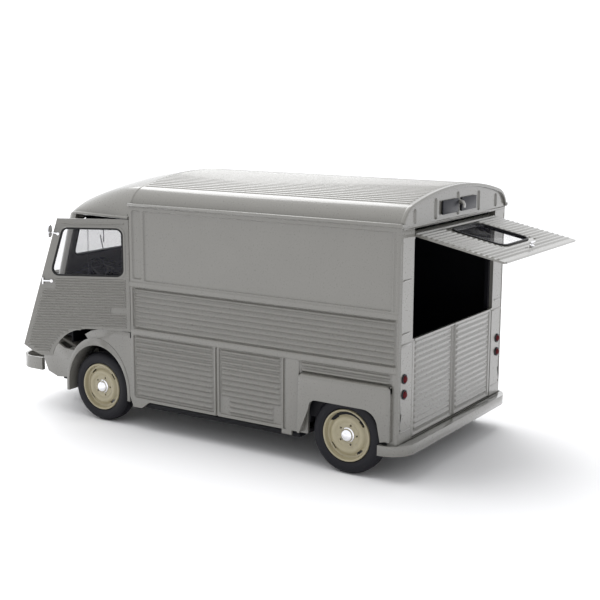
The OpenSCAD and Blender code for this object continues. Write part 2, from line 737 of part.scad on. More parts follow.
module tie_rod() {
    y = front_axle_y + steer_arm;
    color(BLACK)
    difference() {
        block([-kingpin_x - 1.8, y - 1.9, rod_z], [kingpin_x + 1.8, y + 1.6, rod_z + 1.3]);
        both_sides() block([kingpin_x - 0.72, y - 1.2, rod_z - 1], [kingpin_x + 0.72, y + 0.8, rod_z + 2]);
    }
}

// ---------- cab doors ----------

// Outline of a cab door as (y, z) from its hinge axis, with the cut for the wheel arch
door_front_foot = 39.8;
door_outline = [[-0.1, door_foot], [-0.1, door_top], [-34, door_top], [-door_reach, door_front_foot],
    [-48.3, 36.8], [-44, 34.8], [-38.5, 34.5], [-36.9, 38.4], [-34.3, 42.1], [-31.8, 44.4],
    [-27.8, 46.7], [-24.3, 47.7], [-20.9, 48.1], [-14.5, 47.9]];
door_window = [[-2.6, 73.4], [-2.6, 96.4], [-31.6, 96.4], [-38.5, 73.4]];

// Puts a door drawn about its hinge axis in place, turned out from straight ahead by swing
module door_place(side, swing) on_side(side)
    translate([door_axis[0], door_axis[1], 0]) rotate([0, 0, swing]) children();

function door_swing(side) = side > 0 ? door_open : -cab_taper;

module door_panel(side) {
    color(BODY)
    door_place(side, door_swing(side)) difference() {
        union() {
            slab_x(door_out - door_t, door_out - 0.25) polygon(door_outline);
            translate([0, 0, door_foot]) cylinder(r = 0.5, h = door_top - door_foot);
            intersection() {
                slab_y(-50.6, -1.6)
                    polygon(rib_outline(door_out - 0.3, 72.4, 29, door_rib_pitch, 0.3));
                slab_x(-2, 2) polygon([[-1.6, 48.6], [-1.6, 73], [-36.3, 73], [-36.5, 69.4], [-42.2, 69.2], [-51, 40.4], [-48, 38],
                    [-44, 36], [-39.8, 36], [-38, 40], [-34.8, 44.4], [-31, 47], [-24, 49]]);
            }
            slab_x(0, door_out) polygon([[-1.6, 98], [-1.6, 98.9], [-33.4, 98.9], [-33.2, 98]]);
        }
        slab_x(-2, 2) polygon(round_poly(door_window, 3.4));
        for (z = [door_foot - 1, door_top - 2.2])
            translate([0, 0, z]) cylinder(r = pin_r + running, h = 3.2);
    }
}

module door_seal(side) {
    color(BLACK)
    door_place(side, door_swing(side)) slab_x(-0.8, door_out + 0.15) difference() {
        polygon(round_poly(inset_poly(door_window, 0.02), 3.38));
        polygon(round_poly(inset_poly(door_window, 0.8), 2.6));
    }
}

module door_glass(side) {
    color(GLASS)
    door_place(side, door_swing(side)) {
        slab_x(-0.1, 0.3) intersection() {
            polygon(round_poly(inset_poly(door_window, 0.82), 2.58));
            polygon([[-19, 70], [-19, 100], [-45, 100], [-45, 70]]);
        }
        slab_x(-0.6, -0.2) intersection() {
            polygon(round_poly(inset_poly(door_window, 0.82), 2.58));
            polygon([[-20, 70], [-20, 100], [0, 100], [0, 70]]);
        }
    }
}

// A lever handle: a round foot, a stem and a crossbar
module door_handle(side) {
    color(CHROME)
    door_place(side, door_swing(side)) translate([door_out - 0.25, -37.4, 71]) {
        rotate([0, 90, 0]) cylinder(r = 0.75, h = 1.2);
        translate([0.9, 0, 0]) rotate([90, 0, 0]) cylinder(r = 0.4, h = 4.4);
        translate([0.9, -4.2, -1.6]) cylinder(r = 0.42, h = 3.2);
    }
}

module mirror_arm(side) {
    color(CHROME)
    door_place(side, door_swing(side)) {
        translate([door_out - 0.25, -33.6, 93.4]) rotate([0, 90, 0]) cylinder(r = 0.7, h = 0.8);
        translate([door_out + 0.2, -33.6, 93.4]) rotate([60, 62, 0]) cylinder(r = 0.35, h = 4.2);
        translate([door_out + 3.4, -36.4, 95]) rotate([-90, 0, 0]) rotate_extrude()
            polygon(concat([[0, 0.3], [2.9, 0.3], [3, 0]], arc(0, 0, 3, 1.6, 0, -90, 6)));
    }
}

// Holes for the pins over and under each cab door
module door_pin_holes() both_sides() {
    translate([door_axis[0], door_axis[1], door_top]) cylinder(r = pin_r, h = 2.5);
    translate([door_axis[0], door_axis[1], door_foot - 3]) cylinder(r = pin_r, h = 2.8);
}

// ---------- tailgate and rear doors ----------

module gate_place() translate([0, gate_axis[0], gate_axis[1]]) rotate([gate_open, 0, 0])
    translate([0, -gate_axis[0], -gate_axis[1]]) children();

module tailgate_panel() {
    color(BODY)
    gate_place() difference() {
        union() {
            block([-gate_half, cargo_rear - door_t, gate_foot], [gate_half, cargo_rear - 0.3, 104.5]);
            intersection() {
                block([-38.6, 90, gate_foot + 0.6], [38.6, 98, 104]);
                gate_ribs();
            }
            both_sides() translate([gate_half - 1.6, gate_axis[0], gate_axis[1]]) rotate([0, 90, 0])
                cylinder(r = 1.4, h = 1.6);
        }
        slab_y(cargo_rear - 3, cargo_rear + 1) polygon(round_rect(-14.6, 70.8, 14.6, 97.1, 4.4));
        both_sides() gate_pin(0.8 + running);
        // flat seat of the handle
        translate([0, cargo_rear - 0.3, 64.8]) rotate([-90, 0, 0]) cylinder(r = 1.15, h = 2);
        both_sides() block([38.4, cargo_rear - 2, gate_foot - 1], [gate_half + 1, cargo_rear + 1, lug_top + 0.3]);
    }
}

module gate_ribs() translate([-38.6, 0, 0]) rotate([90, 0, 90]) linear_extrude(77.2)
    polygon(rib_outline(cargo_rear - 0.35, 103.6, 17, rib_pitch, 0.4));

// A tailgate hinge pin, from inside the gate's lug into the post
module gate_pin(r) translate([gate_half - 1.3, gate_axis[0], gate_axis[1]]) rotate([0, 90, 0])
    cylinder(r = r, h = 3.6);

module tailgate_seal() {
    color(BLACK)
    gate_place() slab_y(cargo_rear - 1.4, cargo_rear + 0.25) difference() {
        polygon(round_rect(-14.58, 70.82, 14.58, 97.08, 4.38));
        polygon(round_rect(-13.6, 71.8, 13.6, 96.1, 3.4));
    }
}

module tailgate_glass() {
    color(GLASS)
    gate_place() slab_y(cargo_rear - 1, cargo_rear - 0.5)
        polygon(round_rect(-13.58, 71.82, 13.58, 96.08, 3.38));
}

module tailgate_handle() {
    color(CHROME)
    gate_place() translate([0, cargo_rear - 0.3, 64.8]) rotate([-90, 0, 0]) {
        cylinder(r = 1.1, h = 0.9);
        cylinder(r = 0.45, h = 2.2);
        translate([-2.2, 0, 2]) rotate([0, 90, 0]) cylinder(r = 0.5, h = 4.4);
    }
}

module leaf_pins(r) translate([leaf_axis[0], leaf_axis[1], 0]) {
    translate([0, 0, leaf_foot - 2]) cylinder(r = r, h = 4.4);
    translate([0, 0, leaf_top - 2]) cylinder(r = r, h = 4);
}

module rear_door(side) {
    color(BODY)
    on_side(side) difference() {
        union() {
            block([0.3, cargo_rear - door_t, leaf_foot], [leaf_axis[0], cargo_rear - 0.3, leaf_top]);
            translate([leaf_axis[0], leaf_axis[1], leaf_foot])
                cylinder(r = 0.55, h = leaf_top - leaf_foot);
            block([0.3, cargo_rear - door_t, leaf_top], [38.3, cargo_rear, leaf_top + 0.8]);
            block([0.3, cargo_rear - 0.4, leaf_foot], [1.3, cargo_rear, leaf_top]);
            intersection() {
                block([2.4, 90, leaf_foot + 0.8], [37.6, 98, leaf_top - 0.2]);
                leaf_ribs();
            }
        }
        leaf_pins(pin_r + running);
    }
}

module leaf_ribs() translate([2.4, 0, 0]) rotate([90, 0, 90]) linear_extrude(35.2)
    polygon(rib_outline(cargo_rear - 0.35, 58.6, 17, rib_pitch, 0.4));

// Every hinge pin is fixed in the body, and a door or the tailgate turns on it
module hinge_pins() {
    color(CHROME)
    both_sides() {
        translate([door_axis[0], door_axis[1], door_top - 2]) cylinder(r = pin_r, h = 4.4);
        translate([door_axis[0], door_axis[1], door_foot - 2.9]) cylinder(r = pin_r, h = 4.9);
        gate_pin(0.8);
        translate([leaf_axis[0], leaf_axis[1], leaf_foot - 2]) cylinder(r = pin_r, h = 4);
        translate([leaf_axis[0], leaf_axis[1], leaf_top - 1.6]) cylinder(r = pin_r, h = lug_top - leaf_top + 1.6);
    }
}

// ---------- drawing ----------

place() chassis_base();
place() interior_tub();
place() side_wall(1);  // side_wall_left
place() side_wall(-1);  // side_wall_right
place() rear_fender(1);  // rear_fender_left
place() rear_fender(-1);  // rear_fender_right
place() cargo_roof();
place() rear_header();
place() rear_posts();
place() rear_bumper();
place() cab_roof();
place() cab_front();
place() nose();
place() grille();
place() front_wing(1);  // front_wing_left
place() front_wing(-1);  // front_wing_right
place() headlamps();
place() headlamp_lenses();
place() front_bumper();
place() windscreen_glass();
place() windscreen_seal();
place() wipers();
place() dashboard();
place() seats();
place() tail_lamp_bezels();
place() tail_lamp_lenses();
place() rear_plates();
place() plate_lamp();
place() hinge_pins();
place() base_screws();
place() steering_wheel();
place() knuckle(1);  // knuckle_left
place() knuckle(-1);  // knuckle_right
place() tie_rod();
place() tyre(front_track, front_axle_y);  // front_tyre_left
place() front_rim(1);  // front_rim_left
place() front_cap(1);  // front_cap_left
place() tyre(-front_track, front_axle_y);  // front_tyre_right
place() front_rim(-1);  // front_rim_right
place() front_cap(-1);  // front_cap_right
place() rear_axle();
place() rear_rims();
place() rear_tyres();
place() rear_caps();
place() door_panel(1);  // door_left_panel
place() door_glass(1);  // door_left_glass
place() door_seal(1);  // door_left_seal
place() door_handle(1);  // door_left_handle
place() mirror_arm(1);  // mirror_left
place() door_panel(-1);  // door_right_panel
place() door_glass(-1);  // door_right_glass
place() door_seal(-1);  // door_right_seal
place() door_handle(-1);  // door_right_handle
place() mirror_arm(-1);  // mirror_right
place() tailgate_panel();
place() tailgate_glass();
place() tailgate_seal();
place() tailgate_handle();
place() rear_door(1);  // rear_door_left
place() rear_door(-1);  // rear_door_right
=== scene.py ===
"""Looks of a 1:18 corrugated delivery van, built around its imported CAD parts.

Shapes are drawn in the van's own millimetres: x to its left, y to its rear from the middle of
the wheelbase, z up from the ground. VAN takes them to the frame's metres.
"""

import json
import math

import bmesh
import bpy
from mathutils import Matrix, Vector
from mathutils.geometry import tessellate_polygon


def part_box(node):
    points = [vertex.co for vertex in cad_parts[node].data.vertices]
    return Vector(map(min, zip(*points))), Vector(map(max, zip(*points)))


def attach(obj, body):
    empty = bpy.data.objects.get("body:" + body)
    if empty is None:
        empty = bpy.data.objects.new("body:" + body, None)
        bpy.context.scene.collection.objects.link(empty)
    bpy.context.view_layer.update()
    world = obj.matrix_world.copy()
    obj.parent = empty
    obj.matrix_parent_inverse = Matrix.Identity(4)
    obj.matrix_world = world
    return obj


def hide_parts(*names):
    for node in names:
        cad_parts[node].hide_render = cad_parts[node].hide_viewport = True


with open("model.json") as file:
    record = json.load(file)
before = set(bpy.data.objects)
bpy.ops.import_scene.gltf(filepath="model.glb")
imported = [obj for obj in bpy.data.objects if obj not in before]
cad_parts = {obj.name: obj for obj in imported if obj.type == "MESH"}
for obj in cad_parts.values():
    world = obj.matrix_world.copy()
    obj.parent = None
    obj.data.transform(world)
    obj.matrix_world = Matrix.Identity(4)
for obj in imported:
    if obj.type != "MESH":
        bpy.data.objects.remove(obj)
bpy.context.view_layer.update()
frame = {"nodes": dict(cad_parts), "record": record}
MM = 0.001


def centre(node):
    low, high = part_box(node)
    return (low + high) / 2


REAR_HUB = centre("rear_rims")
FRONT_HUB = (centre("front_rim_left") + centre("front_rim_right")) / 2
MID_WHEELBASE = Vector((REAR_HUB.x, (REAR_HUB.y + FRONT_HUB.y) / 2, 0))
VAN = Matrix.Translation(MID_WHEELBASE) @ Matrix.Scale(MM, 4)
SIDES = (("left", 1), ("right", -1))

# Sizes of the body, in van millimetres
HALF_W = 52.5
WALL = 1.4
CARGO_FRONT, CARGO_REAR = -48.0, 94.4
GUTTER = 108.3
CROWN = 120.4
BIG_R, CORNER_R = 180.0, 11.5
SILL = 14.4
RIB_PITCH, DOOR_PITCH = 2.45, 1.25
AXLE_Z = REAR_HUB.z / MM
AXLE_Y = (REAR_HUB.y - FRONT_HUB.y) / 2 / MM
FRONT_TRACK, REAR_TRACK = 46.1, 48.8
DOOR_AXIS = Vector((HALF_W - 0.6, CARGO_FRONT - 0.9, 0))
DOOR_OPEN, CAB_TAPER = 26.0, 4.0
GATE_AXIS = Vector((0, CARGO_REAR - 2.05, 101.6))
GATE_OPEN, GATE_HALF = 78.5, 39.9
RAKE, RAKE_Y = 16.8, -83
DOOR_TOP = 100.6
INSIDE = HALF_W - WALL
LEAF_FOOT, LEAF_TOP = 17.0, 58.4
WING_Y, WING_Z = -70.5, 17
# How far the windscreen and its frame stand behind their CAD place
SCREEN_BACK = 4.3
SET_BACK = ("cab_front", "windscreen_seal", "windscreen_glass", "wipers")


# ---------- camera, light and floor ----------

CAMERA_AZIMUTH, CAMERA_ELEVATION, CAMERA_ROLL = 122.891, 10.696, 0.201
CAMERA_PLACE = (0.451970, 0.309394, 0.164800)
LENS, SENSOR = 70.08, 36.0
ROOM_COLOUR, ROOM_SEEN, ROOM_DIFFUSE = (0.985, 0.99, 1.0), 1.15, 0.72
TOP_FROM, TOP_POWER, TOP_SPREAD = (-0.15, -0.45, 1.0), 2.7, 70.0
GLINT_FROM, GLINT_POWER = (-0.62, -0.64, 0.86), 1.7


def add_camera():
    a, e, r = (math.radians(v) for v in (CAMERA_AZIMUTH, CAMERA_ELEVATION, CAMERA_ROLL))
    back = Vector((math.sin(a) * math.cos(e), -math.cos(a) * math.cos(e), math.sin(e)))
    level = Vector((math.cos(a), math.sin(a), 0))
    up = back.cross(level)
    right = level * math.cos(r) + up * math.sin(r)
    up = up * math.cos(r) - level * math.sin(r)
    data = bpy.data.cameras.new("camera")
    data.lens, data.sensor_width = LENS, SENSOR
    data.clip_start, data.clip_end = 0.01, 50
    camera = bpy.data.objects.new("camera", data)
    turn = Matrix((right, up, back)).transposed().to_4x4()
    camera.matrix_world = Matrix.Translation(CAMERA_PLACE) @ turn
    bpy.context.scene.collection.objects.link(camera)
    bpy.context.scene.camera = camera


def add_softbox(name, place, target, size, power):
    data = bpy.data.lights.new(name, "AREA")
    data.shape = "RECTANGLE"
    data.size, data.size_y = size
    data.energy = power
    light = bpy.data.objects.new(name, data)
    light.location = place
    light.rotation_mode = "QUATERNION"
    light.rotation_quaternion = (Vector(target) - Vector(place)).to_track_quat("-Z", "Y")
    bpy.context.scene.collection.objects.link(light)


def add_studio():
    """A white room, a wide soft light overhead and a softbox that glints along the roof."""
    world = bpy.data.worlds.new("studio")
    world.use_nodes = True
    tree = world.node_tree
    background = tree.nodes["Background"]
    background.inputs["Color"].default_value = (*ROOM_COLOUR, 1)
    ray = tree.nodes.new("ShaderNodeLightPath")
    level = tree.nodes.new("ShaderNodeMapRange")
    level.inputs["To Min"].default_value = ROOM_SEEN
    level.inputs["To Max"].default_value = ROOM_DIFFUSE
    tree.links.new(ray.outputs["Is Diffuse Ray"], level.inputs["Value"])
    tree.links.new(level.outputs["Result"], background.inputs["Strength"])
    bpy.context.scene.world = world
    data = bpy.data.lights.new("overhead", "SUN")
    data.energy, data.angle = TOP_POWER, math.radians(TOP_SPREAD)
    overhead = bpy.data.objects.new("overhead", data)
    overhead.rotation_mode = "QUATERNION"
    overhead.rotation_quaternion = Vector(TOP_FROM).to_track_quat("Z", "Y")
    overhead.visible_glossy = False
    bpy.context.scene.collection.objects.link(overhead)
    add_softbox("roof_glint", GLINT_FROM, (0.0, 0.0, 0.1), (0.5, 0.5), GLINT_POWER)
    radius, count = 12.0, 64
    verts = [(radius * math.cos(2 * math.pi * k / count),
              radius * math.sin(2 * math.pi * k / count), 0) for k in range(count)]
    mesh = bpy.data.meshes.new("floor")
    mesh.from_pydata(verts, [], [tuple(range(count))])
    floor = bpy.data.objects.new("floor", mesh)
    floor.data.materials.append(make_floor())
    bpy.context.scene.collection.objects.link(floor)


# ---------- materials ----------


def base_material(name):
    material = bpy.data.materials.new(name)
    material.use_nodes = True
    tree = material.node_tree
    return material, tree, tree.nodes["Principled BSDF"]


def add_noise(tree, scale, detail=3.0):
    """A noise texture in object space, scale in waves per metre."""
    where = tree.nodes.new("ShaderNodeTexCoord")
    noise = tree.nodes.new("ShaderNodeTexNoise")
    noise.inputs["Scale"].default_value = scale
    noise.inputs["Detail"].default_value = detail
    tree.links.new(where.outputs["Object"], noise.inputs["Vector"])
    return noise


def add_ramp(tree, noise, low, high, start=0.3, end=0.7):
    """Maps the noise from one colour to another."""
    ramp = tree.nodes.new("ShaderNodeValToRGB")
    ramp.color_ramp.elements[0].position = start
    ramp.color_ramp.elements[1].position = end
    ramp.color_ramp.elements[0].color = (*low, 1)
    ramp.color_ramp.elements[1].color = (*high, 1)
    tree.links.new(noise.outputs["Fac"], ramp.inputs["Fac"])
    return ramp.outputs["Color"]


def add_range(tree, noise, low, high):
    """Maps the noise to a number from low to high."""
    span = tree.nodes.new("ShaderNodeMapRange")
    span.inputs["From Min"].default_value = 0.3
    span.inputs["From Max"].default_value = 0.7
    span.inputs["To Min"].default_value = low
    span.inputs["To Max"].default_value = high
    tree.links.new(noise.outputs["Fac"], span.inputs["Value"])
    return span.outputs["Result"]


def surface(name, colour, rough, spread=0.04, grain=900.0, bump=0.0, mottle=0.03, metallic=0.0,
            coat=0.0, coat_rough=0.1, specular=0.5, wear=0.05):
    """A painted, moulded or plated surface: mottled colour, uneven gloss and a fine relief."""
    material, tree, shader = base_material(name)
    broad = add_noise(tree, 60.0)
    fine = add_noise(tree, grain, 4.0)
    low = tuple(c * (1 - mottle) for c in colour)
    high = tuple(min(1.0, c * (1 + mottle)) for c in colour)
    tree.links.new(add_ramp(tree, broad, low, high), shader.inputs["Base Color"])
    tree.links.new(add_range(tree, fine, rough - spread, rough + spread), shader.inputs["Roughness"])
    shader.inputs["Metallic"].default_value = metallic
    shader.inputs["Coat Weight"].default_value = coat
    shader.inputs["Coat Roughness"].default_value = coat_rough
    shader.inputs["Specular IOR Level"].default_value = specular
    if bump > 0:
        relief = tree.nodes.new("ShaderNodeBump")
        relief.inputs["Strength"].default_value = bump
        relief.inputs["Distance"].default_value = wear * MM
        tree.links.new(fine.outputs["Fac"], relief.inputs["Height"])
        tree.links.new(relief.outputs["Normal"], shader.inputs["Normal"])
    return material


def clear(name, colour, rough, alpha=1.0, transmission=1.0, ior=1.45):
    """Glass or a clear lens, with faint smears in its gloss."""
    material, tree, shader = base_material(name)
    smear = add_noise(tree, 120.0)
    tree.links.new(add_ramp(tree, smear, tuple(c * 0.97 for c in colour), colour),
                   shader.inputs["Base Color"])
    tree.links.new(add_range(tree, smear, rough, rough + 0.03), shader.inputs["Roughness"])
    shader.inputs["Transmission Weight"].default_value = transmission
    shader.inputs["IOR"].default_value = ior
    shader.inputs["Alpha"].default_value = alpha
    return material


def make_floor():
    material, tree, shader = base_material("floor")
    noise = add_noise(tree, 3.0)
    tree.links.new(add_ramp(tree, noise, (0.9, 0.9, 0.91), (0.92, 0.92, 0.93)),
                   shader.inputs["Base Color"])
    shader.inputs["Roughness"].default_value = 0.85
    shader.inputs["Specular IOR Level"].default_value = 0.2
    return material


PAINT = surface("body_paint", (0.168, 0.163, 0.147), 0.30, grain=1400, bump=0.06, coat=1.0,
                coat_rough=0.07, mottle=0.025)
CREAM = surface("wheel_paint", (0.36, 0.32, 0.21), 0.34, grain=1200, bump=0.1, coat=0.3,
                mottle=0.03)
TYRE = surface("tyre_rubber", (0.006, 0.006, 0.009), 0.55, grain=2500, bump=0.3, mottle=0.15,
               specular=0.25)
RUBBER = surface("black_rubber", (0.004, 0.004, 0.005), 0.45, grain=2500, bump=0.2, mottle=0.12,
                 specular=0.3)
PLASTIC = surface("black_plastic", (0.004, 0.004, 0.006), 0.55, grain=2200, bump=0.3, mottle=0.12,
                  specular=0.2)
SEAT = surface("seat_plastic", (0.03, 0.03, 0.034), 0.6, grain=1800, bump=0.5, mottle=0.15,
               wear=0.08)
GLOSS = surface("gloss_black", (0.006, 0.007, 0.014), 0.35, grain=1500, bump=0.05, specular=0.3)
CHROME = surface("chrome", (0.86, 0.86, 0.88), 0.07, spread=0.03, grain=500, metallic=1.0,
                 mottle=0.02)
STEEL = surface("steel", (0.5, 0.5, 0.52), 0.3, grain=900, metallic=1.0, mottle=0.08)
RED = clear("red_lens", (0.1, 0.003, 0.006), 0.25, transmission=0.1, ior=1.25)
LAMP_CLEAR = clear("lamp_glass", (0.95, 0.96, 0.97), 0.04)
WINDOW = clear("window_glass", (0.02, 0.02, 0.03), 0.01, alpha=0.2, transmission=0.0, ior=1.5)
MATERIALS = {"body_paint": PAINT, "wheel_paint": CREAM, "tyre": TYRE, "black_rubber": RUBBER,
             "black_plastic": PLASTIC, "seat_plastic": SEAT, "gloss_black": GLOSS,
             "chrome": CHROME, "steel": STEEL, "red_lens": RED, "lamp_glass": LAMP_CLEAR,
             "window_glass": WINDOW, "lamp_housing": PAINT}


# ---------- making pieces ----------


def node_facts():
    """For each CAD node, its body and its material slot."""
    record = frame["record"]
    body_of = {}
    for body, nodes in record["behaviour"]["bodies"].items():
        body_of.update(dict.fromkeys(nodes, body))
    slot_of = {part["node"]: part["material_slot"] for part in record["subparts"]}
    return body_of, slot_of


BODY_OF, SLOT_OF = node_facts()


class Shape:
    """Vertices and faces that grow by closed solids, each placed by a matrix."""

    def __init__(self, place=VAN):
        self.place, self.verts, self.faces = place, [], []

    def add(self, verts, faces):
        start = len(self.verts)
        self.verts += [self.place @ Vector(v) for v in verts]
        self.faces += [tuple(start + i for i in face) for face in faces]

    def tube(self, rings):
        """A closed solid through rings of equally many points, capped at both ends."""
        n = len(rings[0])
        faces = []
        for r in range(len(rings) - 1):
            for k in range(n):
                j = (k + 1) % n
                faces.append((r * n + k, r * n + j, (r + 1) * n + j, (r + 1) * n + k))
        last = (len(rings) - 1) * n
        faces.append(tuple(range(n - 1, -1, -1)))
        faces.append(tuple(last + k for k in range(n)))
        self.add([p for ring in rings for p in ring], faces)

    def lathe(self, profile, origin, axis, count=64):
        """A solid of revolution: the profile is (radius, height) and closes on itself or the axis."""
        origin, axis = Vector(origin), Vector(axis).normalized()
        side = axis.orthogonal().normalized()
        other = axis.cross(side)
        verts, faces, rows = [], [], []
        for radius, height in profile:
            if radius < 1e-6:
                rows.append([len(verts)] * count)
                verts.append(origin + axis * height)
                continue
            rows.append(list(range(len(verts), len(verts) + count)))
            for k in range(count):
                a = 2 * math.pi * k / count
                spoke = side * math.cos(a) + other * math.sin(a)
                verts.append(origin + axis * height + spoke * radius)
        closed = profile[0][0] > 1e-6 or profile[-1][0] > 1e-6
        for r in range(len(profile) if closed else len(profile) - 1):
            a, b = rows[r], rows[(r + 1) % len(profile)]
            for k in range(count):
                j = (k + 1) % count
                corners = list(dict.fromkeys((a[k], a[j], b[j], b[k])))
                if len(corners) > 2:
                    faces.append(tuple(corners))
        self.add(verts, faces)

    def plate(self, axis, low, high, outline, holes=()):
        """A flat plate from low to high along an axis, its outline and holes in the other two."""
        loops = [list(outline), *[list(hole) for hole in holes]]
        flat = [p for loop in loops for p in loop]
        n = len(flat)
        verts = [lift(axis, p, level) for level in (low, high) for p in flat]
        faces = []
        for a, b, c in tessellate_polygon([[Vector((*p, 0)) for p in loop] for loop in loops]):
            faces.append((a, b, c))
            faces.append((n + c, n + b, n + a))
        start = 0
        for loop in loops:
            m = len(loop)
            for k in range(m):
                j = (k + 1) % m
                faces.append((start + k, start + j, n + start + j, n + start + k))
            start += m
        self.add(verts, faces)

    def sheet(self, us, vs, outer, inner, keep=lambda u, v: True, loop=False):
        """A closed sheet between two surfaces over a grid, without the cells that keep refuses."""
        wide, high = len(us) - (0 if loop else 1), len(vs) - 1
        ids, verts, faces = {}, [], []

        def corner(i, j, face):
            key = (i % len(us), j, face)
            if key not in ids:
                ids[key] = len(verts)
                verts.append((outer if face else inner)(us[key[0]], vs[j]))
            return ids[key]

        def kept(i, j):
            if loop:
                i %= len(us)
            if not (0 <= i < wide and 0 <= j < high):
                return False
            after = us[(i + 1) % len(us)] if i + 1 < len(us) else us[i] + us[1] - us[0]
            return keep((us[i] + after) / 2, (vs[j] + vs[j + 1]) / 2)

        for i in range(wide):
            for j in range(high):
                if not kept(i, j):
                    continue
                ring = ((i, j), (i + 1, j), (i + 1, j + 1), (i, j + 1))
                faces.append(tuple(corner(*p, 1) for p in ring))
                faces.append(tuple(corner(*p, 0) for p in reversed(ring)))
                for k, (di, dj) in enumerate(((0, -1), (1, 0), (0, 1), (-1, 0))):
                    if not kept(i + di, j + dj):
                        a, b = ring[k], ring[(k + 1) % 4]
                        faces.append((corner(*a, 1), corner(*a, 0), corner(*b, 0), corner(*b, 1)))
        self.add(verts, faces)

    def bead(self, axis, floor, start, end, half, height):
        """A long rounded rib on a flat: start and end are its points in the flat's plane."""
        a, b = Vector(start), Vector(end)
        along = (b - a).normalized()
        across = Vector((-along.y, along.x))
        length = (b - a).length
        steps = [(0.0, 0.12), (0.12, 0.5), (0.35, 0.78), (0.65, 0.94), (1.0, 1.0)]
        marks = [(half * t, f) for t, f in steps]
        marks += [(length - half * t, f) for t, f in reversed(steps)]
        rings = []
        for distance, f in marks:
            middle = a + along * distance
            ring = [lift(axis, middle - across * half * f, floor - math.copysign(0.2, height))]
            for k in range(9):
                t = -1 + k / 4
                rise = height * f * math.cos(math.pi * t / 2) ** 1.5 if abs(t) < 1 else 0
                ring.append(lift(axis, middle + across * half * f * t, floor + rise))
            ring.append(lift(axis, middle + across * half * f, floor - math.copysign(0.2, height)))
            rings.append(ring)
        self.tube(rings)


def lift(axis, point, level):
    """A point of a plane as (x, y, z), at a level along the plane's axis."""
    u, v = point
    return {"x": (level, u, v), "y": (u, level, v), "z": (u, v, level)}[axis]


def mirrored(place=VAN, side=1):
    return place @ Matrix.Diagonal((side, 1, 1, 1))


def make(name, shape, node, material=None, bevel=0.0, angle=35.0, body=None, replaces=True):
    """Turns a shape into a piece that rides with the node's body, in the node's material."""
    mesh = bpy.data.meshes.new(name)
    mesh.from_pydata([tuple(v) for v in shape.verts], [], shape.faces)
    work = bmesh.new()
    work.from_mesh(mesh)
    bmesh.ops.remove_doubles(work, verts=work.verts, dist=1e-7)
    bmesh.ops.recalc_face_normals(work, faces=work.faces)
    work.to_mesh(mesh)
    work.free()
    finish_piece(name, mesh, node, material, bevel, angle, 3, body, replaces)


def finish_piece(name, mesh, node, material, bevel, angle, segments, body, replaces):
    """Gives a mesh its material, its rounded edges and its body, and hides the nodes that it
    replaces.
    """
    mesh.shade_smooth()
    piece = bpy.data.objects.new(name, mesh)
    bpy.context.scene.collection.objects.link(piece)
    slot = SLOT_OF[node]
    mesh.materials.clear()
    mesh.materials.append(material or MATERIALS[slot])
    if bevel:
        edges = piece.modifiers.new("soft_edges", "BEVEL")
        edges.width, edges.segments = bevel * MM, segments
        edges.limit_method, edges.angle_limit = "ANGLE", math.radians(angle)
        edges.harden_normals = True
        edges.use_clamp_overlap = True
    else:
        mesh.set_sharp_from_angle(angle=math.radians(angle))
    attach(piece, body or BODY_OF[node])
    if replaces:
        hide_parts(*([node] if replaces is True else replaces))


def set_back(point):
    """Where a point of the raked cab front goes when the screen stands closer to the doors."""
    p = VAN.inverted() @ point
    lean = math.radians(RAKE)
    depth = (p.z - DOOR_TOP - 0.3) * math.sin(lean) - (p.y - RAKE_Y) * math.cos(lean)
    if p.z > 69.9:
        p.y += SCREEN_BACK * max(0, min(1, depth / 11.4))
    return VAN @ p


def soften(node, material=None):
    """The CAD node's own shape with its doubled points joined and its hard edges rounded."""
    source = frame["nodes"][node]
    work = bmesh.new()
    work.from_mesh(source.data)
    bmesh.ops.transform(work, matrix=source.matrix_world, verts=work.verts)
    if node in SET_BACK:
        for vert in work.verts:
            vert.co = set_back(vert.co)
    bmesh.ops.remove_doubles(work, verts=work.verts, dist=2e-6)
    bmesh.ops.dissolve_limit(work, angle_limit=math.radians(0.6), verts=work.verts,
                             edges=work.edges)
    bmesh.ops.recalc_face_normals(work, faces=work.faces)
    mesh = bpy.data.meshes.new(node + "_soft")
    work.to_mesh(mesh)
    work.free()
    finish_piece(node + "_soft", mesh, node, material, 0.15, 35.0, 2, None, True)


def arc(cx, cy, r, start, end, n):
    return [(cx + r * math.cos(math.radians(start + (end - start) * k / n)),
             cy + r * math.sin(math.radians(start + (end - start) * k / n))) for k in range(n + 1)]


def round_rect(x0, y0, x1, y1, r, n=5):
    return (arc(x1 - r, y1 - r, r, 0, 90, n) + arc(x0 + r, y1 - r, r, 90, 180, n)
            + arc(x0 + r, y0 + r, r, 180, 270, n) + arc(x1 - r, y0 + r, r, 270, 360, n))


def grown(points, d):
    """A convex outline with each edge moved outwards by d (inwards if negative)."""
    turn = sum(points[i - 1][0] * points[i][1] - points[i][0] * points[i - 1][1]
               for i in range(len(points)))
    sign = 1 if turn > 0 else -1
    made = []
    for i, p in enumerate(points):
        before = (Vector(p) - Vector(points[i - 1])).normalized()
        after = (Vector(points[(i + 1) % len(points)]) - Vector(p)).normalized()
        n1 = Vector((before.y, -before.x)) * sign
        n2 = Vector((after.y, -after.x)) * sign
        out = (n1 + n2).normalized()
        made.append(tuple(Vector(p) + out * d / max(0.3, out.dot(n1))))
    return made


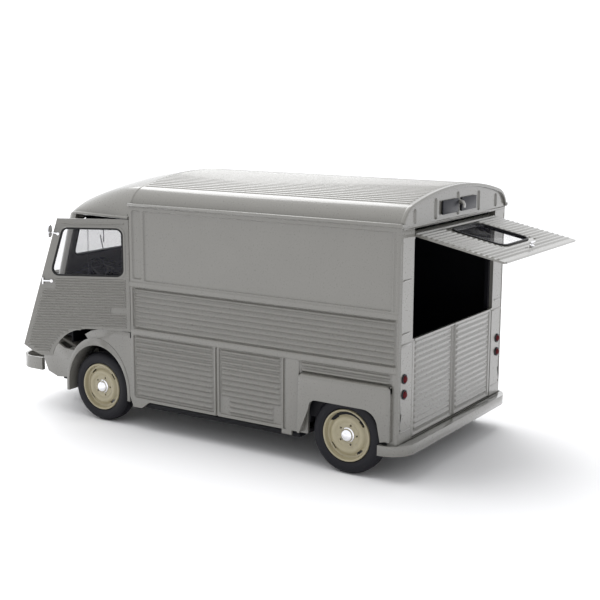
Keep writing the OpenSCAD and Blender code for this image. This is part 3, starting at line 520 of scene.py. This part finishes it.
def rounded(points, r, n=5):
    """A convex outline with its corners rounded to radius r."""
    made = []
    count = len(points)
    for i in range(count):
        p = Vector(points[i])
        a = (Vector(points[i - 1]) - p).normalized()
        b = (Vector(points[(i + 1) % count]) - p).normalized()
        half = math.acos(max(-1, min(1, a.dot(b)))) / 2
        middle = p + (a + b).normalized() * r / math.sin(half)
        start = p + a * r / math.tan(half) - middle
        end = p + b * r / math.tan(half) - middle
        for k in range(n + 1):
            made.append(tuple(middle + start.slerp(end, k / n).normalized() * r))
    return made


# ---------- pressed sheet metal ----------


def smooth(t):
    t = max(0.0, min(1.0, t))
    return t * t * (3 - 2 * t)


def pocket(u, v, box, r, depth, soft=0.5):
    """Level of a rounded pocket in a flat, or of a raised field if its depth is negative."""
    du = max(box[0] + r - u, u - box[2] + r)
    dv = max(box[1] + r - v, v - box[3] + r)
    away = math.hypot(max(du, 0), max(dv, 0)) + min(max(du, dv), 0) - r
    return -depth * smooth(0.5 - away / soft)


def rib(u, v, row, start, end, half, height):
    """Level of a rib with round ends that runs along u at v = row."""
    if abs(v - row) >= half:
        return 0.0
    d = math.hypot(max(start + half - u, u - end + half, 0), v - row) / half
    return height * math.cos(d * math.pi / 2) ** 2 if d < 1 else 0.0


def near(*values, reach=0.6):
    """Grid lines close around each value."""
    return [value + reach * k / 3 for value in values for k in range(-3, 4)]


def rib_lines(rows, half):
    return [row + half * k / 3 for row in rows for k in range(-3, 4)]


def grid_lines(low, high, *groups):
    """Rising grid lines from low to high, through the wanted places."""
    made = [low]
    for value in sorted(v for group in groups for v in group):
        if value - made[-1] > 0.09 and high - value > 0.09:
            made.append(value)
    return made + [high]


# Pressings of a side wall as (y, z) boxes with their depths; a negative depth stands proud
SIDE_PRESSINGS = (
    ((-46.3, 73.2, -41.2, 105), 1.0, 0.75), ((-39.4, 72.6, 90.8, 104.9), 0.7, 0.75),
    ((-46.7, 49.4, 93.4, 69.0), 0.9, 0.95), ((-46.7, 15.9, 0.5, 46.2), 0.9, 0.85),
    ((3.5, 15.9, 37.5, 46.2), 0.9, 0.85), ((46.4, 38.0, 91.6, 46.2), 0.9, 0.6),
    ((1.5, 14.0, 2.5, 46.2), 0.4, 0.8), ((38.3, 14.0, 39.4, 46.2), 0.4, 0.8),
    ((-49, 69.3, 94.0, 71.7), 0.4, -0.45), ((-49, 46.6, 94.0, 48.9), 0.5, -0.3),
    ((91.7, 72.6, 92.6, 104.9), 0.3, 0.3))
RIB_HALF = 1.17
CORNER_TURN = 1.3


def side_ribs():
    """Each rib of a side wall as (height, front end, rear end)."""
    rows = [(69 - RIB_PITCH * (k + 0.5), -46.2, 93.0) for k in range(8)]
    for k in range(12):
        z = 46 - RIB_PITCH * (k + 0.5)
        rows.append((z, -46.2, 0.0))
        rows.append((z, 4.0, 36.9) if k < 9 else (z, 8.2, 33.2))
    return rows + [(46.1 - RIB_PITCH * (k + 0.5), 47.0, 91.0) for k in range(3)]


def side_wall(side, name):
    rows = side_ribs()

    def outer(y, z):
        level = HALF_W + sum(pocket(y, z, box, r, d) for box, r, d in SIDE_PRESSINGS)
        level += sum(rib(y, z, row, start, end, RIB_HALF, 0.95) for row, start, end in rows)
        turn = max(0, y - CARGO_REAR + CORNER_TURN)
        level -= CORNER_TURN - math.sqrt(CORNER_TURN ** 2 - turn ** 2)
        return (level, y, z)

    def inner(y, z):
        return (INSIDE, y, z)

    edges_y = {v for box, _, _ in SIDE_PRESSINGS for v in (box[0], box[2])}
    edges_z = {v for box, _, _ in SIDE_PRESSINGS for v in (box[1], box[3])}
    ys = grid_lines(CARGO_FRONT, CARGO_REAR, near(*edges_y), near(-45.4, 4.6, 8.9, 32.6, 36.2),
                    near(47.6, 90.4, 92.4, -0.7), [51.0, 90.0, 93.6, 93.9, 94.2], range(-36, 90, 9))
    zs = grid_lines(SILL, GUTTER, near(*edges_z), rib_lines([row for row, _, _ in rows], RIB_HALF),
                    [36.0], range(76, 105, 7))
    shape = Shape(mirrored(VAN, side))
    shape.sheet(ys, zs, outer, inner, lambda y, z: not (51 < y < 90 and z < 36))
    for outline in (((-48, 14.6), (-48, 11), (-42.5, 11), (-37.8, 14.4), (-37.8, 14.6)),
                    ((37.4, 14.6), (37.4, 12.4), (42.6, 12.4), (42.6, 14.6))):
        shape.plate("x", INSIDE + 0.02, HALF_W - 0.02, outline)
    lip = [(52.2, 106.4), (53.0, 106.7), (53.55, 107.15), (53.7, 107.7), (53.5, 108.2),
           (53.0, 108.45), (52.0, 108.5), (51.0, 108.2), (51.0, 106.6)]
    rings = [[(52 + (x - 52) * f, y, 107.4 + (z - 107.4) * f) for x, z in lip]
             for y, f in ((-48.1, 0.8), (-47.8, 1), (93.8, 1), (94.9, 0.9), (95.2, 0.6))]
    shape.tube(rings)
    make(name + "_pressed", shape, name, bevel=0.12, angle=50)


# The roof's section: a flat crown between two round shoulders
SHOULDER_X = HALF_W - 0.6 - CORNER_R
SHOULDER_Z = CROWN - BIG_R + math.sqrt((BIG_R - CORNER_R) ** 2 - SHOULDER_X ** 2)
SHOULDER_TURN = math.acos(SHOULDER_X / (BIG_R - CORNER_R))
CREST_HALF = BIG_R * math.cos(SHOULDER_TURN)
SHOULDER_FOOT = math.asin((GUTTER - SHOULDER_Z) / CORNER_R)
ARCH_HALF = CREST_HALF + CORNER_R * (SHOULDER_TURN - SHOULDER_FOOT)


def arch_point(t, y, rise):
    """A point over the roof's arch: t is x on the crown and runs on down the shoulders."""
    side = math.copysign(1, t)
    if abs(t) <= CREST_HALF:
        a, r, x0, z0 = math.acos(t / BIG_R), BIG_R + rise, 0, CROWN - BIG_R
        return (r * math.cos(a), y, z0 + r * math.sin(a))
    a = SHOULDER_TURN - (abs(t) - CREST_HALF) / CORNER_R
    r = CORNER_R + rise
    return (side * (SHOULDER_X + r * math.cos(a)), y, SHOULDER_Z + r * math.sin(a))


def cargo_roof():
    rows = [i * RIB_PITCH for i in range(-17, 18)]
    rear = CARGO_REAR + 1

    def outer(t, y):
        rise = sum(rib(y, t, row, CARGO_FRONT + 1.3, rear - 2.3, 1.1, 0.42) for row in rows)
        rise += 0.3 * smooth((y - rear + 1.9) / 0.5) + 0.25 * smooth((CARGO_FRONT + 1.1 - y) / 0.5)
        rise -= 0.75 * smooth((y - rear + 0.45) / 0.6) ** 2
        return arch_point(t, y, rise)

    shoulder = [side * (CREST_HALF + (ARCH_HALF - CREST_HALF) * k / 12)
                for k in range(12) for side in (1, -1)]
    ts = grid_lines(-ARCH_HALF, ARCH_HALF, rib_lines(rows, 1.1), shoulder, [-40, 40])
    ys = grid_lines(CARGO_FRONT, rear, near(CARGO_FRONT + 1.0, CARGO_FRONT + 2.0, rear - 3.0),
                    near(rear - 1.6, rear - 0.3, reach=0.45), range(-36, 90, 12))
    shape = Shape()
    shape.sheet(ts, ys, outer, lambda t, y: arch_point(t, y, -1.2))
    make("cargo_roof_pressed", shape, "cargo_roof", bevel=0.15, angle=50)


# ---------- cab ----------

CAB_REAR, CAB_BROW = CARGO_FRONT - 0.2, -95.9 + SCREEN_BACK
DOME_FOOT = DOOR_TOP + 0.3
DOME_SIDE, DOME_FRONT = 11.5, 8.0


def cab_half(y):
    """Half the cab's width at the foot of its roof."""
    half = 50 + (HALF_W - 0.1 - 50) * (y - RAKE_Y) / (CAB_REAR - RAKE_Y)
    back = CAB_BROW + DOME_FRONT - y
    if back > 0:
        half -= DOME_SIDE * (1 - math.sqrt(max(0, 1 - (back / DOME_FRONT) ** 2)))
    return half


def dome_point(w, y, inset):
    half = cab_half(y)
    x = w * half
    crown = CROWN - 0.6 - x * x / (2 * BIG_R) - 11.5 * (max(0, -50 - y) / 41.4) ** 1.7
    beside = 50 + (HALF_W - 0.1 - 50) * (y - RAKE_Y) / (CAB_REAR - RAKE_Y) - abs(x)
    a = max(0, 1 - beside / DOME_SIDE)
    b = max(0, 1 - (y - CAB_BROW) / DOME_FRONT)
    swell = math.sqrt(max(0, 1 - a * a - b * b))
    z = DOME_FOOT + (crown - DOME_FOOT) * swell
    if inset:
        x *= 1 - inset / half
        y = CAB_REAR + (y - CAB_REAR) * (1 - inset / (CAB_REAR - CAB_BROW))
        z = max(DOME_FOOT, z - inset)
    return (x, y, z)


def cab_roof():
    turn = [1 - math.cos(math.radians(9 * k)) for k in range(11)]
    ws = sorted({round(s * w, 5) for s in (1, -1)
                 for w in [1 - t * DOME_SIDE / 50 for t in turn] + [0.11 * k for k in range(7)]})
    ys = sorted({CAB_BROW + t * DOME_FRONT for t in turn} | {-84 + 4 * k for k in range(9)}
                | {CAB_REAR})
    shape = Shape()
    shape.sheet(ws, ys, lambda w, y: dome_point(w, y, 0), lambda w, y: dome_point(w, y, WALL))
    section = [(-0.6, -0.1), (0.35, -0.05), (0.8, 0.15), (0.9, 0.55), (0.7, 0.95), (0.2, 1.2),
               (-0.6, 1.3)]
    for side in (1, -1):
        rings = []
        for y, f in ((-48.3, 0.9), (-49, 1), (-60, 1), (-72, 1), (-79, 1), (-82, 1), (-84.5, 0.9),
                     (-86.4, 0.7)):
            x = cab_half(y)
            rings.append([(side * (x + out * f), y, DOME_FOOT + up * f) for out, up in section])
        shape.tube(rings)
    make("cab_roof_pressed", shape, "cab_roof", bevel=0.12, angle=50)


# ---------- doors ----------

DOOR_OUTLINE = [(-0.1, 47.2), (-0.1, DOOR_TOP), (-34, DOOR_TOP), (-52.4, 39.8), (-48.3, 36.8),
                (-44, 34.8), (-38.5, 34.5), (-37.9, 36.6), (-36.9, 38.9), (-35.7, 40.7),
                (-34.3, 42.4), (-32.5, 44.2), (-30.2, 45.8), (-27.8, 46.9), (-24.3, 47.8),
                (-20.9, 48.1), (-14.5, 47.9)]
DOOR_WINDOW = [(-2.6, 73.4), (-2.6, 96.4), (-31.6, 96.4), (-38.5, 73.4)]
DOOR_ARCH = [(34.5, -38.5), (38.9, -36.9), (42.4, -34.3), (44.2, -32.5), (45.8, -30.2),
             (46.9, -27.8), (48.1, -20.9), (49.0, -9.0)]


def between(table, value):
    """Reads a rising table of (place, number) pairs by straight lines."""
    for (a, p), (b, q) in zip(table, table[1:]):
        if value <= b:
            return p + (q - p) * max(0, value - a) / (b - a)
    return table[-1][1]


def door_matrix(side):
    swing = math.radians(DOOR_OPEN if side > 0 else -CAB_TAPER)
    return (mirrored(VAN, side) @ Matrix.Translation(DOOR_AXIS)
            @ Matrix.Rotation(swing, 4, "Z"))


def door_panel(side, name):
    shape = Shape(door_matrix(side))
    window = rounded(DOOR_WINDOW, 3.4, 7)
    shape.plate("x", -0.7, 0.25, DOOR_OUTLINE, [window])
    shape.plate("x", 0.1, 0.5, rounded(grown(DOOR_WINDOW, 1.0), 4.2, 7), [window])
    shape.lathe([(0, 47.2), (0.5, 47.2), (0.5, DOOR_TOP), (0, DOOR_TOP)], (0, 0, 0), (0, 0, 1), 20)
    for k in range(29):
        z = 72.3 - DOOR_PITCH * (k + 0.5)
        front = between([(36.8, -48.3), (39.8, -52.4), (DOOR_TOP, -34)], z) + 1.9
        rear = -1.7 if z > 49 else between(DOOR_ARCH, z) - 2.0
        if k < 4:
            front = -36.2
        if k in (11, 12):
            rear = -9.0
        shape.bead("x", 0.25, (front, z), (rear, z), 0.55, 0.42)
    shape.bead("x", 0.25, (-33.6, 98.5), (-1.8, 98.5), 0.55, 0.4)
    shape.bead("x", 0.25, (-2.6, 64.9), (-2.6, 67.2), 0.6, 0.5)
    make(name + "_pressed", shape, name, bevel=0.22, angle=50)


# ---------- rear ----------


def gate_matrix():
    return (VAN @ Matrix.Translation(GATE_AXIS)
            @ Matrix.Rotation(math.radians(GATE_OPEN), 4, "X") @ Matrix.Translation(-GATE_AXIS))


def tailgate():
    shape = Shape(gate_matrix())
    outline = [(-38.4, 59.4), (38.4, 59.4), (38.4, 59.7), (GATE_HALF, 59.7), (GATE_HALF, 104.5),
               (-GATE_HALF, 104.5), (-GATE_HALF, 59.7), (-38.4, 59.7)]
    window = round_rect(-14.6, 70.8, 14.6, 97.1, 4.4, 8)
    face = CARGO_REAR - 0.35
    shape.plate("y", CARGO_REAR - 1.2, face, outline, [window])
    for side in (1, -1):
        shape.lathe([(0, -0.8), (1.4, -0.8), (1.4, 0.8), (0, 0.8)],
                    (side * (GATE_HALF - 0.8), GATE_AXIS.y, GATE_AXIS.z), (1, 0, 0), 24)
    for k in range(17):
        z = 103.6 - RIB_PITCH * (k + 0.5)
        spans = [(-39.3, 39.3)]
        if 69.0 < z < 99.0:
            spans = [(-39.3, -16.4), (16.4, 39.3)]
        elif 63.5 < z < 66.3:
            spans = [(-39.3, -2.6), (2.6, 39.3)]
        for start, end in spans:
            shape.bead("y", face, (start, z), (end, z), 1.05, 0.55)
    make("tailgate_pressed", shape, "tailgate_panel", bevel=0.15, angle=50)


def rear_door(side, name):
    high, low, hinge = LEAF_TOP, LEAF_FOOT, GATE_HALF - 0.4
    rows = [high - RIB_PITCH * (k + 0.5) for k in range(16)]
    face = CARGO_REAR - 0.15

    def outer(x, z):
        level = face + pocket(x, z, (2.2, low + 0.9, 37.8, high - 0.3), 0.6, 0.45)
        level += sum(rib(x, z, row, 2.5, 37.5, RIB_HALF, 0.65) for row in rows)
        level += rib(z, x, 0.95, low, high, 0.6, 0.45)
        return (x, level, z)

    xs = grid_lines(0.3, hinge, near(2.2, 37.8), near(3.2, 36.8), rib_lines([0.95], 0.6),
                    range(6, 36, 6))
    zs = grid_lines(low, high, rib_lines(rows, RIB_HALF), near(low + 0.9, high - 0.3))
    shape = Shape(mirrored(VAN, side))
    shape.sheet(xs, zs, outer, lambda x, z: (x, CARGO_REAR - 1.2, z))
    shape.plate("z", high - 0.02, high + 0.8,
                [(0.3, CARGO_REAR - 1.2), (38.3, CARGO_REAR - 1.2), (38.3, CARGO_REAR + 0.1),
                 (0.3, CARGO_REAR + 0.1)])
    shape.lathe([(0, low), (0.55, low), (0.55, high), (0, high)],
                (hinge, CARGO_REAR - 0.6, 0), (0, 0, 1), 20)
    make(name + "_pressed", shape, name, bevel=0.12, angle=50)


def rear_fender(side, name):
    shape = Shape(mirrored(VAN, side))
    low, high, top = 47.2, 91.8, 41.3
    face = HALF_W + 2.8
    arch = ([(low, 15.0), (48.2, 15.0), (52.9, 26.6)] + arc(56.4, 27.3, 3.4, 165, 90, 4)
            + [(77.2, 30.5)] + arc(79.4, 23.2, 7.3, 88, 18, 6) + [(87.9, 17.6)])
    outline = arch + [(high, 17.6), (high, top - 1.8)]
    outline += arc(high - 1.8, top - 1.8, 1.8, 0, 90, 5)[1:]
    outline += arc(low + 1.8, top - 1.8, 1.8, 90, 180, 5)
    rings = []
    for x, inset in ((face - 1.5, 0), (face - 1.3, 0.02), (face - 0.85, 0.15), (face - 0.45, 0.42),
                     (face - 0.15, 0.85), (face, 1.45)):
        rings.append([(x, *p) for p in shrunk(outline, inset, keep=len(arch))])
    shape.tube(rings)
    back = HALF_W - 0.65
    for box in ((low, 38.0, high, top), (low, 15.0, low + 1.4, top), (high - 1.6, 17.6, high, top)):
        y0, z0, y1, z1 = box
        shape.plate("x", back, face - WALL,
                    round_rect(y0, z0, y1, z1, 0.3 if z1 - z0 < 5 else 0.5, 3))
    make(name + "_pressed", shape, name, bevel=0.1, angle=50)


def shrunk(points, inset, keep):
    """An outline whose points after the first keep ones move inwards; the others stay."""
    moved = grown(points, -inset)
    return [p if i < keep else m for i, (p, m) in enumerate(zip(points, moved))]


def circle(u, v, r, n=20):
    return arc(u, v, r, 0, 360 - 360 / n, n - 1)


def cargo_liner():
    """A black skin inside the load space: painted shade for the unlit inside of the bay."""
    shape = Shape()
    for side in (1, -1):
        shape.plate("x", side * 50.85, side * 51.03,
                    [(-45.9, 22.2), (90.6, 22.2), (90.6, 105.2), (-45.9, 105.2)])
    ts = [ARCH_HALF * k / 30 for k in range(-30, 31)]
    shape.sheet(ts, [-45.9, 92.9], lambda t, y: arch_point(t, y, -1.25),
                lambda t, y: arch_point(t, y, -1.5))
    make("cargo_liner", shape, "interior_tub", replaces=False, bevel=0.04)


def rear_header():
    shape = Shape()
    arch = [arch_point(ARCH_HALF * k / 30, 0, -1.25) for k in range(-30, 31)]
    edge = INSIDE - 0.02
    shape.plate("y", CARGO_REAR - WALL, CARGO_REAR - 0.1,
                [(-edge, 105.4), *[(x, z) for x, _, z in arch], (edge, 105.4)])
    for x, top in ((0, 117.4), (21.5, 116.2), (-21.5, 116.2), (40.2, 113.4), (-40.2, 113.4)):
        shape.bead("y", CARGO_REAR - 0.15, (x, 107.3), (x, top), 1.1, 0.8)
    shape.bead("y", CARGO_REAR - 0.15, (-50.2, 106.1), (50.2, 106.1), 0.6, 0.5)
    make("rear_header_pressed", shape, "rear_header", bevel=0.1, angle=50)


def rear_posts():
    shape, stops = Shape(), Shape()
    edge, face = INSIDE - 0.02, CARGO_REAR
    for side in (1, -1):
        shape.place = stops.place = mirrored(VAN, side)
        shape.plate("y", 90.8, face, [(40.2, 16.4), (edge, 16.4), (edge, 105.4), (40.2, 105.4)],
                    [circle(47, 43.8, 1.5), circle(47, 37.2, 1.5), circle(49.9, 22.4, 0.5, 12)])
        post_beads = ((84.85, 42.2, 49.5, 0.5, 0.4), (62.85, 42.2, 49.5, 0.5, 0.4),
                      (58.1, 41.0, 50.5, 0.75, 0.45), (21.3, 41.4, 50.3, 0.35, 0.3))
        for z, start, end, half, height in post_beads:
            shape.bead("y", face - 0.05, (start, z), (end, z), half, height)
        shape.bead("y", face - 0.05, (50.4, 24.5), (50.4, 103.5), 0.45, 0.3)
        shape.plate("z", 58.55, 59.4, [(38.7, 92.8), (40.3, 92.8), (40.3, face), (38.7, face)])
        stops.plate("z", 16.6, 98, [(38.6, 90.8), (40.18, 90.8), (40.18, 92.8), (38.6, 92.8)])
    shape.place = VAN
    shape.plate("z", SILL, 16.6, [(-edge, 90.8), (edge, 90.8), (edge, face), (-edge, face)])
    make("rear_posts_pressed", shape, "rear_posts", bevel=0.2, angle=50)
    make("rear_door_stops", stops, "rear_posts", material=PLASTIC, replaces=False, bevel=0.1)


def cab_liner():
    """The headliner, visors and insides of the front wings, all black: painted shade for the unlit
    inside of the cab and the shaded wheel arches.
    """
    shape = Shape()
    shape.plate("z", 100.2, 100.8, [(-47.5, -49), (47.5, -49), (46, -80), (42, -86), (-42, -86),
                                    (-46, -80)])
    for low, high in ((-38, -1.5), (1.5, 38)):
        shape.plate("y", -88.4, -87.7, round_rect(low, 91.5, high, 100.3, 1.5))
    angles = [math.radians(20 + 5 * k) for k in range(29)]
    for side in (1, -1):
        shape.place = mirrored(VAN, side)
        shape.plate("x", 47.0, 47.4, [(-68, 42.5), (-48.4, 42.5), (-48.4, 50), (-68, 50)])
        shape.sheet(angles, [38.8, 46.45],
                    lambda a, x: (x, WING_Y + 20.75 * math.cos(a), WING_Z + 24.95 * math.sin(a)),
                    lambda a, x: (x, WING_Y + 20.45 * math.cos(a), WING_Z + 24.65 * math.sin(a)))
    make("cab_liner", shape, "interior_tub", replaces=False, bevel=0.05)


def scuttle():
    """The flat strip between the nose and the foot of the windscreen."""
    shape = Shape()
    shape.plate("z", 68.6, 69.5, [(-28.9, -104.6), (28.9, -104.6), (28.9, -99.9), (-28.9, -99.9)])
    make("scuttle", shape, "cab_front", replaces=False, bevel=0.1)


def wing_lip(side, name):
    """The rolled edge of a front wheel's arch."""
    shape = Shape(mirrored(VAN, side))
    rings = []
    for k in range(46):
        a = math.radians(4 * k)
        ring = []
        for step in range(12):
            b = 2 * math.pi * step / 12
            r = 0.62 * math.sin(b)
            ring.append((51.75 + 0.55 * math.cos(b), WING_Y + (19.45 + r) * math.cos(a),
                         WING_Z + (21.5 + r) * math.sin(a)))
        rings.append(ring)
    shape.tube(rings)
    make(name + "_lip", shape, name, replaces=False)


# ---------- wheels ----------

RIM_FACE = [(5.3, 2.38), (5.7, 2.6), (6.1, 2.9), (6.6, 3.15), (7.1, 3.24), (7.6, 3.15), (8.0, 2.9),
            (8.45, 2.5), (8.7, 2.3), (9.0, 2.15), (9.4, 2.05), (9.7, 2.08), (10.05, 2.2)]
RIM_LIP = [(9.9, -3.3), (11.46, -3.3), (11.46, 3.5), (11.44, 3.8), (11.3, 4.08), (11.05, 4.2),
           (10.8, 4.14), (10.62, 3.95), (10.5, 3.6), (10.4, 3.1), (10.25, 2.6), (10.05, 2.2),
           (9.9, 1.4)]
TYRE_SIDE = [(11.52, 3.3), (11.75, 3.75), (12.3, 4.05), (12.9, 4.1), (13.1, 4.22), (13.7, 4.3),
             (14.5, 4.3), (15.3, 4.15), (16.0, 3.7), (16.45, 3.1), (16.7, 2.6), (16.86, 2.1),
             (16.5, 2.0), (16.5, 1.75), (16.9, 1.65), (16.9, 0.75), (16.5, 0.65), (16.5, 0.35),
             (16.9, 0.25)]
CAP_PROFILE = [(0, 2.34), (3.4, 2.34), (3.42, 2.7), (3.25, 2.95), (2.95, 3.1), (2.82, 3.25),
               (2.75, 3.55), (2.5, 3.95), (2.1, 4.28), (1.6, 4.5), (1.15, 4.58), (1.05, 4.62),
               (1.0, 4.72), (0.8, 4.78), (0, 4.8)]


def add_tyre(shape, side, hub):
    other = [(r, -h) for r, h in reversed(TYRE_SIDE)]
    shape.lathe(TYRE_SIDE + other, hub, (side, 0, 0), 96)


def add_rim(shape, side, hub):
    def point(a, r, drop=0.0):
        return (hub.x + side * (between(RIM_FACE, r) - drop), hub.y + r * math.sin(a),
                hub.z + r * math.cos(a))

    def keep(a, r):
        off = (math.degrees(a) - 50 + 45) % 90 - 45
        return not (8.45 < r < 9.4 and abs(off) < 10)

    shape.sheet([math.radians(5 * k) for k in range(72)], [r for r, _ in RIM_FACE], point,
                lambda a, r: point(a, r, 0.7), keep, loop=True)
    lugs = [circle(hub.y + 4.35 * math.sin(math.radians(162 - 72 * k)),
                   hub.z + 4.35 * math.cos(math.radians(162 - 72 * k)), 0.5, 12) for k in range(5)]
    shape.plate("x", hub.x + side * 1.68, hub.x + side * 2.38, circle(hub.y, hub.z, 5.35, 72),
                [circle(hub.y, hub.z, 1.33, 24), *lugs])
    shape.lathe(RIM_LIP, hub, (side, 0, 0), 96)
    shape.lathe([(1.33, -1.6), (2.5, -1.6), (2.5, 1.7), (1.33, 1.7)], hub, (side, 0, 0), 32)


def add_cap(shape, side, hub):
    shape.lathe(CAP_PROFILE, hub, (side, 0, 0), 64)


def wheels():
    made = []
    for name, sides, track, y in (("front_{}_left", (1,), FRONT_TRACK, -AXLE_Y),
                                  ("front_{}_right", (-1,), FRONT_TRACK, -AXLE_Y),
                                  ("rear_{}s", (1, -1), REAR_TRACK, AXLE_Y)):
        for kind, build in (("tyre", add_tyre), ("rim", add_rim), ("cap", add_cap)):
            node = name.format(kind)
            shape = Shape()
            for side in sides:
                build(shape, side, Vector((side * track, y, AXLE_Z)))
            make(node + "_turned", shape, node, bevel=0.06 if kind == "rim" else 0, angle=45)
            made.append(node)
    return made


BUILT = []
for side_name, side in SIDES:
    side_wall(side, "side_wall_" + side_name)
    rear_fender(side, "rear_fender_" + side_name)
    door_panel(side, "door_" + side_name + "_panel")
    rear_door(side, "rear_door_" + side_name)
    wing_lip(side, "front_wing_" + side_name)
    BUILT += [part.format(side_name) for part in
                ("side_wall_{}", "rear_fender_{}", "door_{}_panel", "rear_door_{}")]
cargo_roof()
cab_roof()
tailgate()
rear_header()
rear_posts()
cargo_liner()
cab_liner()
scuttle()
BUILT += ["cargo_roof", "cab_roof", "tailgate_panel", "rear_header", "rear_posts"]
BUILT += wheels()

add_camera()
add_studio()
bpy.context.scene.view_settings.view_transform = "Standard"

for node in frame["nodes"]:
    if node not in BUILT:
        # The hinge pins are black plastic: painted shade for the dark gap at the doors' hinge feet.
        soften(node, material=PLASTIC if node == "hinge_pins" else None)
